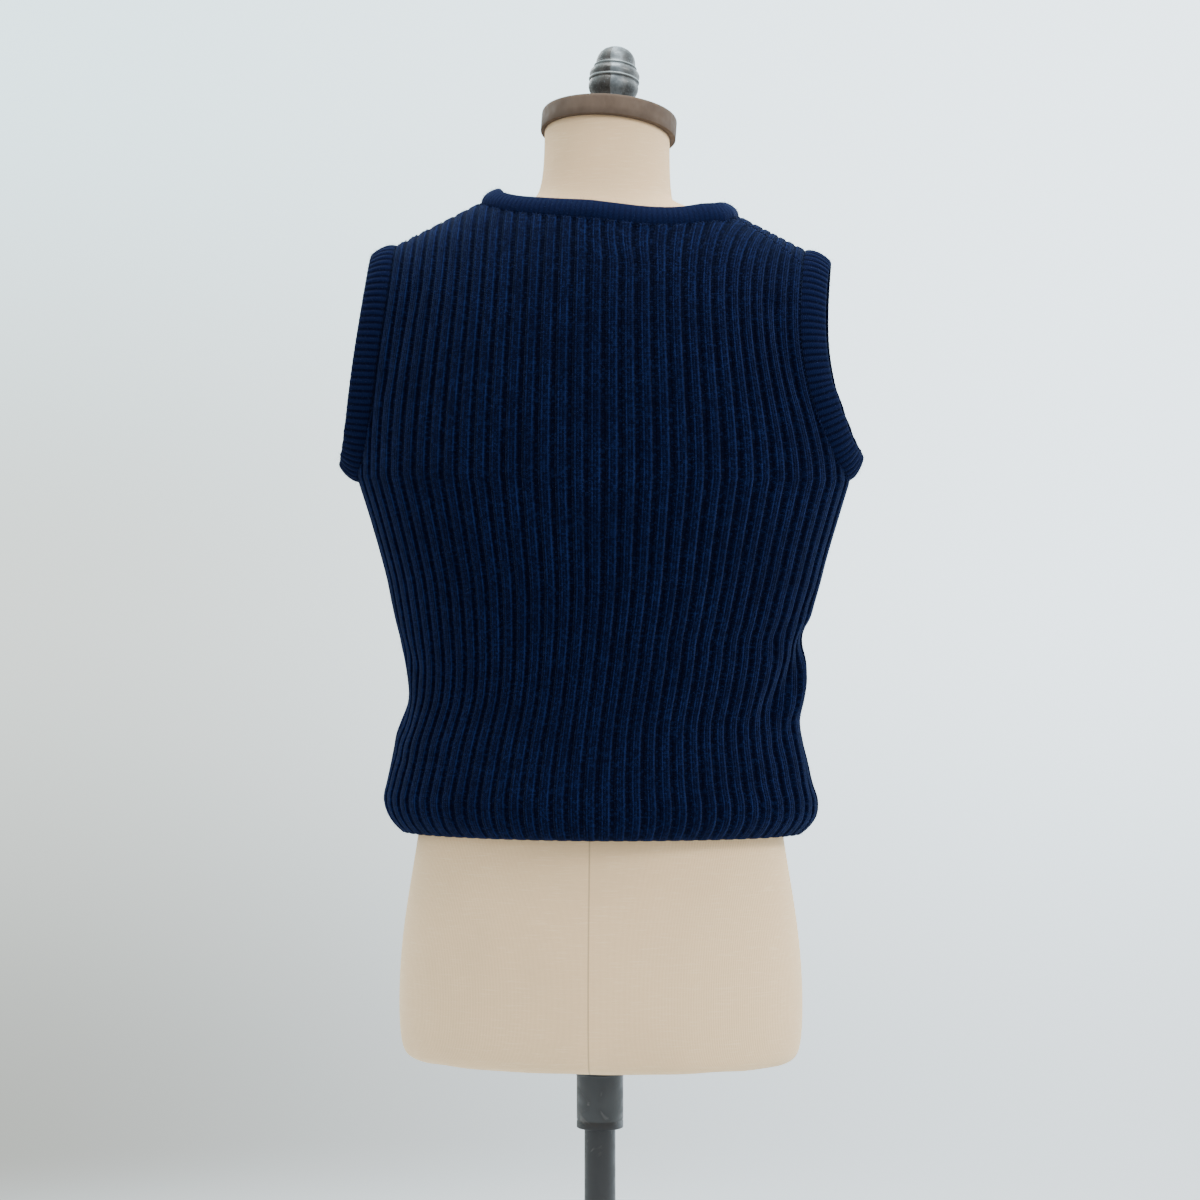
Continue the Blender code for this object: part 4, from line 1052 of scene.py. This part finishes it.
BACKWARDS = np.array([0.0, 1.0, 0.0])
BAND_SEAMS_FROM = 4
STITCH_PITCH, STITCH_REACH, STITCH_RISE = 0.0036, 0.0017, 0.00035
STITCH_RADII = np.array([0.0002, 0.00036, 0.0004, 0.0004, 0.00036, 0.0002])
CHAIN_PITCH, CHAIN_DEPTH = 0.004, 0.0008
CHAIN_RADII = np.array([0.0005, 0.0009, 0.0009, 0.0005])
FIBRE_RADII = np.array([0.00007, 0.00006, 0.000015])
FIBRE_LENGTHS, FIBRE_SPREAD, FIBRE_BEND, FIBRE_ROOT = (0.0012, 0.0046), 0.55, 0.45, 0.0003


def seam_lines():
    """The seams' middle lines, their outward directions and the directions across them."""
    found = []
    for side in (1, -1):
        shoulder = [k for k, _ in outer_lines() if NECK_RIBS <= k * side <= SHOULDER_RIBS]
        line = np.array([(GRIDS[("back", 0, k)][-1] + GRIDS[("front", 0, k)][-1]) / 2 for k in shoulder])
        up = np.array([outward(k, rib_runs_kept(k, "back")[-1]) for k in shoulder])
        found.append((line, up, np.broadcast_to(BACKWARDS, line.shape)))
        edge = float(SIDE_RIBS * side)
        line = (GRIDS[("back", 0, edge)] + GRIDS[("front", 0, edge)]) / 2
        up = outward(place_ribs(edge), np.array(rib_runs_kept(edge, "back")))
        found.append((line, up, np.broadcast_to(BACKWARDS, line.shape)))
    for steps, outer, up, out, hole in SEAMS.values():
        half = len(steps) // 2
        from_first = np.concatenate([steps[:half], steps[:half][::-1]])
        if hole == "neck":
            ribs, share = NECK_RIBS - from_first, 0.5
        else:
            ribs, share = SHOULDER_RIBS + np.maximum(from_first - len(UPPER_SHARES), 0), 0.8
        sunk = np.array([rib_relief(k) for k in ribs]) * share
        line = outer - up * sunk[:, None]
        found.append((np.vstack([line, line[:1]]), np.vstack([up, up[:1]]), np.vstack([out, out[:1]])))
    return found


def seam_yarn(name, finish):
    points = [stitch_points(*seam, STITCH_PITCH, STITCH_REACH, STITCH_RISE) for seam in seam_lines()]
    return strands(name, np.concatenate(points), STITCH_RADII, 6, finish)


def linking_chain(name, finish):
    """The chain that links each band to its panels: it lies low between them and closes the seam."""
    points = []
    for line, up, _ in seam_lines()[BAND_SEAMS_FROM:]:
        low = line - unit(up) * CHAIN_DEPTH
        lengths = line_lengths(low)
        count = int(lengths[-1] / CHAIN_PITCH)
        at = (np.arange(count)[:, None] + np.linspace(-0.1, 1.1, 4)) / count * lengths[-1]
        points.append(np.stack([np.interp(at, lengths, low[:, i]) for i in range(3)], axis=-1))
    return strands(name, np.concatenate(points), CHAIN_RADII, 6, finish)


def loose_wool(name, sheets, count, seed, finish):
    """Fine fibres that stand out of the knit, thin and bent, at seeded places all over the sheets."""
    chance = np.random.default_rng(seed)
    corners = []
    for sheet in sheets:
        data = sheet.data
        data.calc_loop_triangles()
        spots = np.empty(len(data.vertices) * 3)
        data.vertices.foreach_get("co", spots)
        order = np.empty(len(data.loop_triangles) * 3, np.int32)
        data.loop_triangles.foreach_get("vertices", order)
        corners.append(spots.reshape(-1, 3)[order.reshape(-1, 3)])
    corners = np.concatenate(corners)
    facing = np.cross(corners[:, 1] - corners[:, 0], corners[:, 2] - corners[:, 0])
    area = np.linalg.norm(facing, axis=1)
    middle = corners.mean(axis=1)
    outside = (facing[:, :2] * middle[:, :2]).sum(axis=1) > -0.02 * area
    weight = area * outside
    picked = chance.choice(len(area), count, p=weight / weight.sum())
    share = chance.random((count, 2))
    share = np.where(share.sum(axis=1, keepdims=True) > 1, 1 - share, share)
    trio = corners[picked]
    root = trio[:, 0] + (trio[:, 1] - trio[:, 0]) * share[:, :1] + (trio[:, 2] - trio[:, 0]) * share[:, 1:]
    up = facing[picked] / area[picked][:, None]
    way = unit(up * chance.uniform(0.35, 1.0, (count, 1)) + chance.normal(0, FIBRE_SPREAD, (count, 3)))
    bend = chance.normal(0, FIBRE_BEND, (count, 3))
    length = chance.uniform(*FIBRE_LENGTHS, (count, 1)) * chance.uniform(0.5, 1.0, (count, 1))
    half_way, tip = root + way * length * 0.55, root + (way + bend) * length
    points = np.stack([root - up * FIBRE_ROOT, half_way, tip], axis=1)
    return strands(name, points, FIBRE_RADII, 3, finish)


# Form, cap, finial and stand
def turned_piece(name, outline, sides, finish, frame=Matrix.Identity(4), smooth_under=38):
    """A turned piece: a ring drawn up through its outline's radii and heights, closed and put in place."""
    bpy.ops.object.select_all(action="DESELECT")
    bpy.ops.mesh.primitive_circle_add(vertices=sides, radius=outline[0][0], location=(0, 0, outline[0][1]))
    made = bpy.context.object
    made.name = name
    made.data.name = name
    bpy.ops.object.transform_apply(location=True, rotation=True, scale=True)
    bpy.ops.object.mode_set(mode="EDIT")
    bpy.ops.mesh.select_all(action="SELECT")
    for (radius, height), (next_radius, next_height) in zip(outline[:-1], outline[1:]):
        bpy.ops.mesh.extrude_region_move(TRANSFORM_OT_translate={"value": (0, 0, next_height - height)})
        grow = next_radius / radius
        bpy.ops.transform.resize(value=(grow, grow, 1))
    bpy.ops.mesh.select_all(action="SELECT")
    bpy.ops.mesh.fill_holes(sides=0)
    bpy.ops.mesh.select_all(action="SELECT")
    bpy.ops.mesh.normals_make_consistent(inside=False)
    bpy.ops.object.mode_set(mode="OBJECT")
    made.matrix_world = frame
    bpy.ops.object.transform_apply(location=True, rotation=True, scale=True)
    bpy.ops.object.shade_smooth_by_angle(angle=math.radians(smooth_under))
    made.data.materials.append(finish)
    return made


def torso(finish):
    """The padded form, smoothed from its solid's own faces."""
    bpy.ops.object.select_all(action="DESELECT")
    source = frame["nodes"]["form_torso"]
    made = linked("linen_form", source.data.copy())
    made.data.name = "linen_form"
    bpy.context.view_layer.objects.active = made
    made.select_set(True)
    bpy.ops.object.mode_set(mode="EDIT")
    bpy.ops.mesh.select_all(action="SELECT")
    bpy.ops.mesh.remove_doubles(threshold=0.00005)
    bpy.ops.mesh.normals_make_consistent(inside=False)
    bpy.ops.mesh.tris_convert_to_quads(face_threshold=QUADS_UNDER, shape_threshold=QUADS_UNDER)
    bpy.ops.object.mode_set(mode="OBJECT")
    mesh = bmesh.new()
    mesh.from_mesh(made.data)
    crease = mesh.edges.layers.float.new("crease_edge")
    for edge in mesh.edges:
        if len(edge.link_faces) == 2 and edge.calc_face_angle(0) > CREASE_OVER:
            edge[crease] = 1.0
    for vert in mesh.verts:
        vert.co.z += NECK_TOP_RAISE * float(ease((vert.co.z - NECK_TOP_Z) / NECK_TOP_OVER))
    mesh.to_mesh(made.data)
    mesh.free()
    smooth = made.modifiers.new("smooth", "SUBSURF")
    smooth.levels = smooth.render_levels = 2
    bpy.ops.object.modifier_apply(modifier="smooth")
    bpy.ops.object.shade_smooth()
    made.data.materials.clear()
    made.data.materials.append(finish)
    return made


# Putting it together
camera()
floor()
studio()

knit, yarn, linen = knit_material(), yarn_material(), linen_material()
fine_knit, neck_knit = fine_rib_material("navy fine rib", 1.0), fine_rib_material("navy neck rib", 0.25)
brown, cast, black = cap_material(), cast_material(), stand_material()

back = panel("knit_back", "back", knit)
front = panel("knit_front", "front", knit)
bands = {
    "armband_left": armband("rib_armband_left", 1, fine_knit),
    "armband_right": armband("rib_armband_right", -1, fine_knit),
    "neckband": neckband("rib_neckband", neck_knit),
}
for piece, solid, slot in ((back, "vest_back", "rib_knit"), (front, "vest_front", "rib_knit"),
                           *((made, solid, "fine_rib") for solid, made in bands.items())):
    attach(piece, "root")
    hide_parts(solid)

loose = (
    (seam_yarn("seam_yarn", yarn), "rib_knit"),
    (linking_chain("linking_chain", neck_knit), "rib_knit"),
    (loose_wool("wool_back", [back], 10000, 11, yarn), "rib_knit"),
    (loose_wool("wool_front", [front], 9000, 12, yarn), "rib_knit"),
    (loose_wool("wool_bands", list(bands.values()), 6500, 13, yarn), "fine_rib"),
)
for piece, slot in loose:
    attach(piece, "root")

cap_seat = Matrix.Translation(CAP_CENTRE) @ CAP_TILT
on_cap = Matrix.Translation((-FINIAL_ASIDE, 0, CAP_HEIGHT + PIECE_GAP))
finial_seat = cap_seat @ on_cap @ Matrix.Rotation(-FINIAL_LEAN, 4, "Y")
hard_pieces = (
    (torso(linen), "form_torso", "linen_cover"),
    (turned_piece("neck_cap", CAP_OUTLINE, 96, brown, cap_seat), "form_cap", "neck_cap"),
    (turned_piece("cast_finial", FINIAL_OUTLINE, 64, cast, finial_seat, 50), "form_finial", "cast_finial"),
    (turned_piece("socket", SOCKET_OUTLINE, 64, black), "stand_socket", "black_stand"),
    (turned_piece("pole", POLE_OUTLINE, 48, black), "stand_pole", "black_stand"),
    (turned_piece("round_base", BASE_OUTLINE, 128, black), "stand_base", "black_stand"),
)
for piece, solid, slot in hard_pieces:
    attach(piece, "root")
    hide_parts(solid)

bpy.context.view_layer.update()
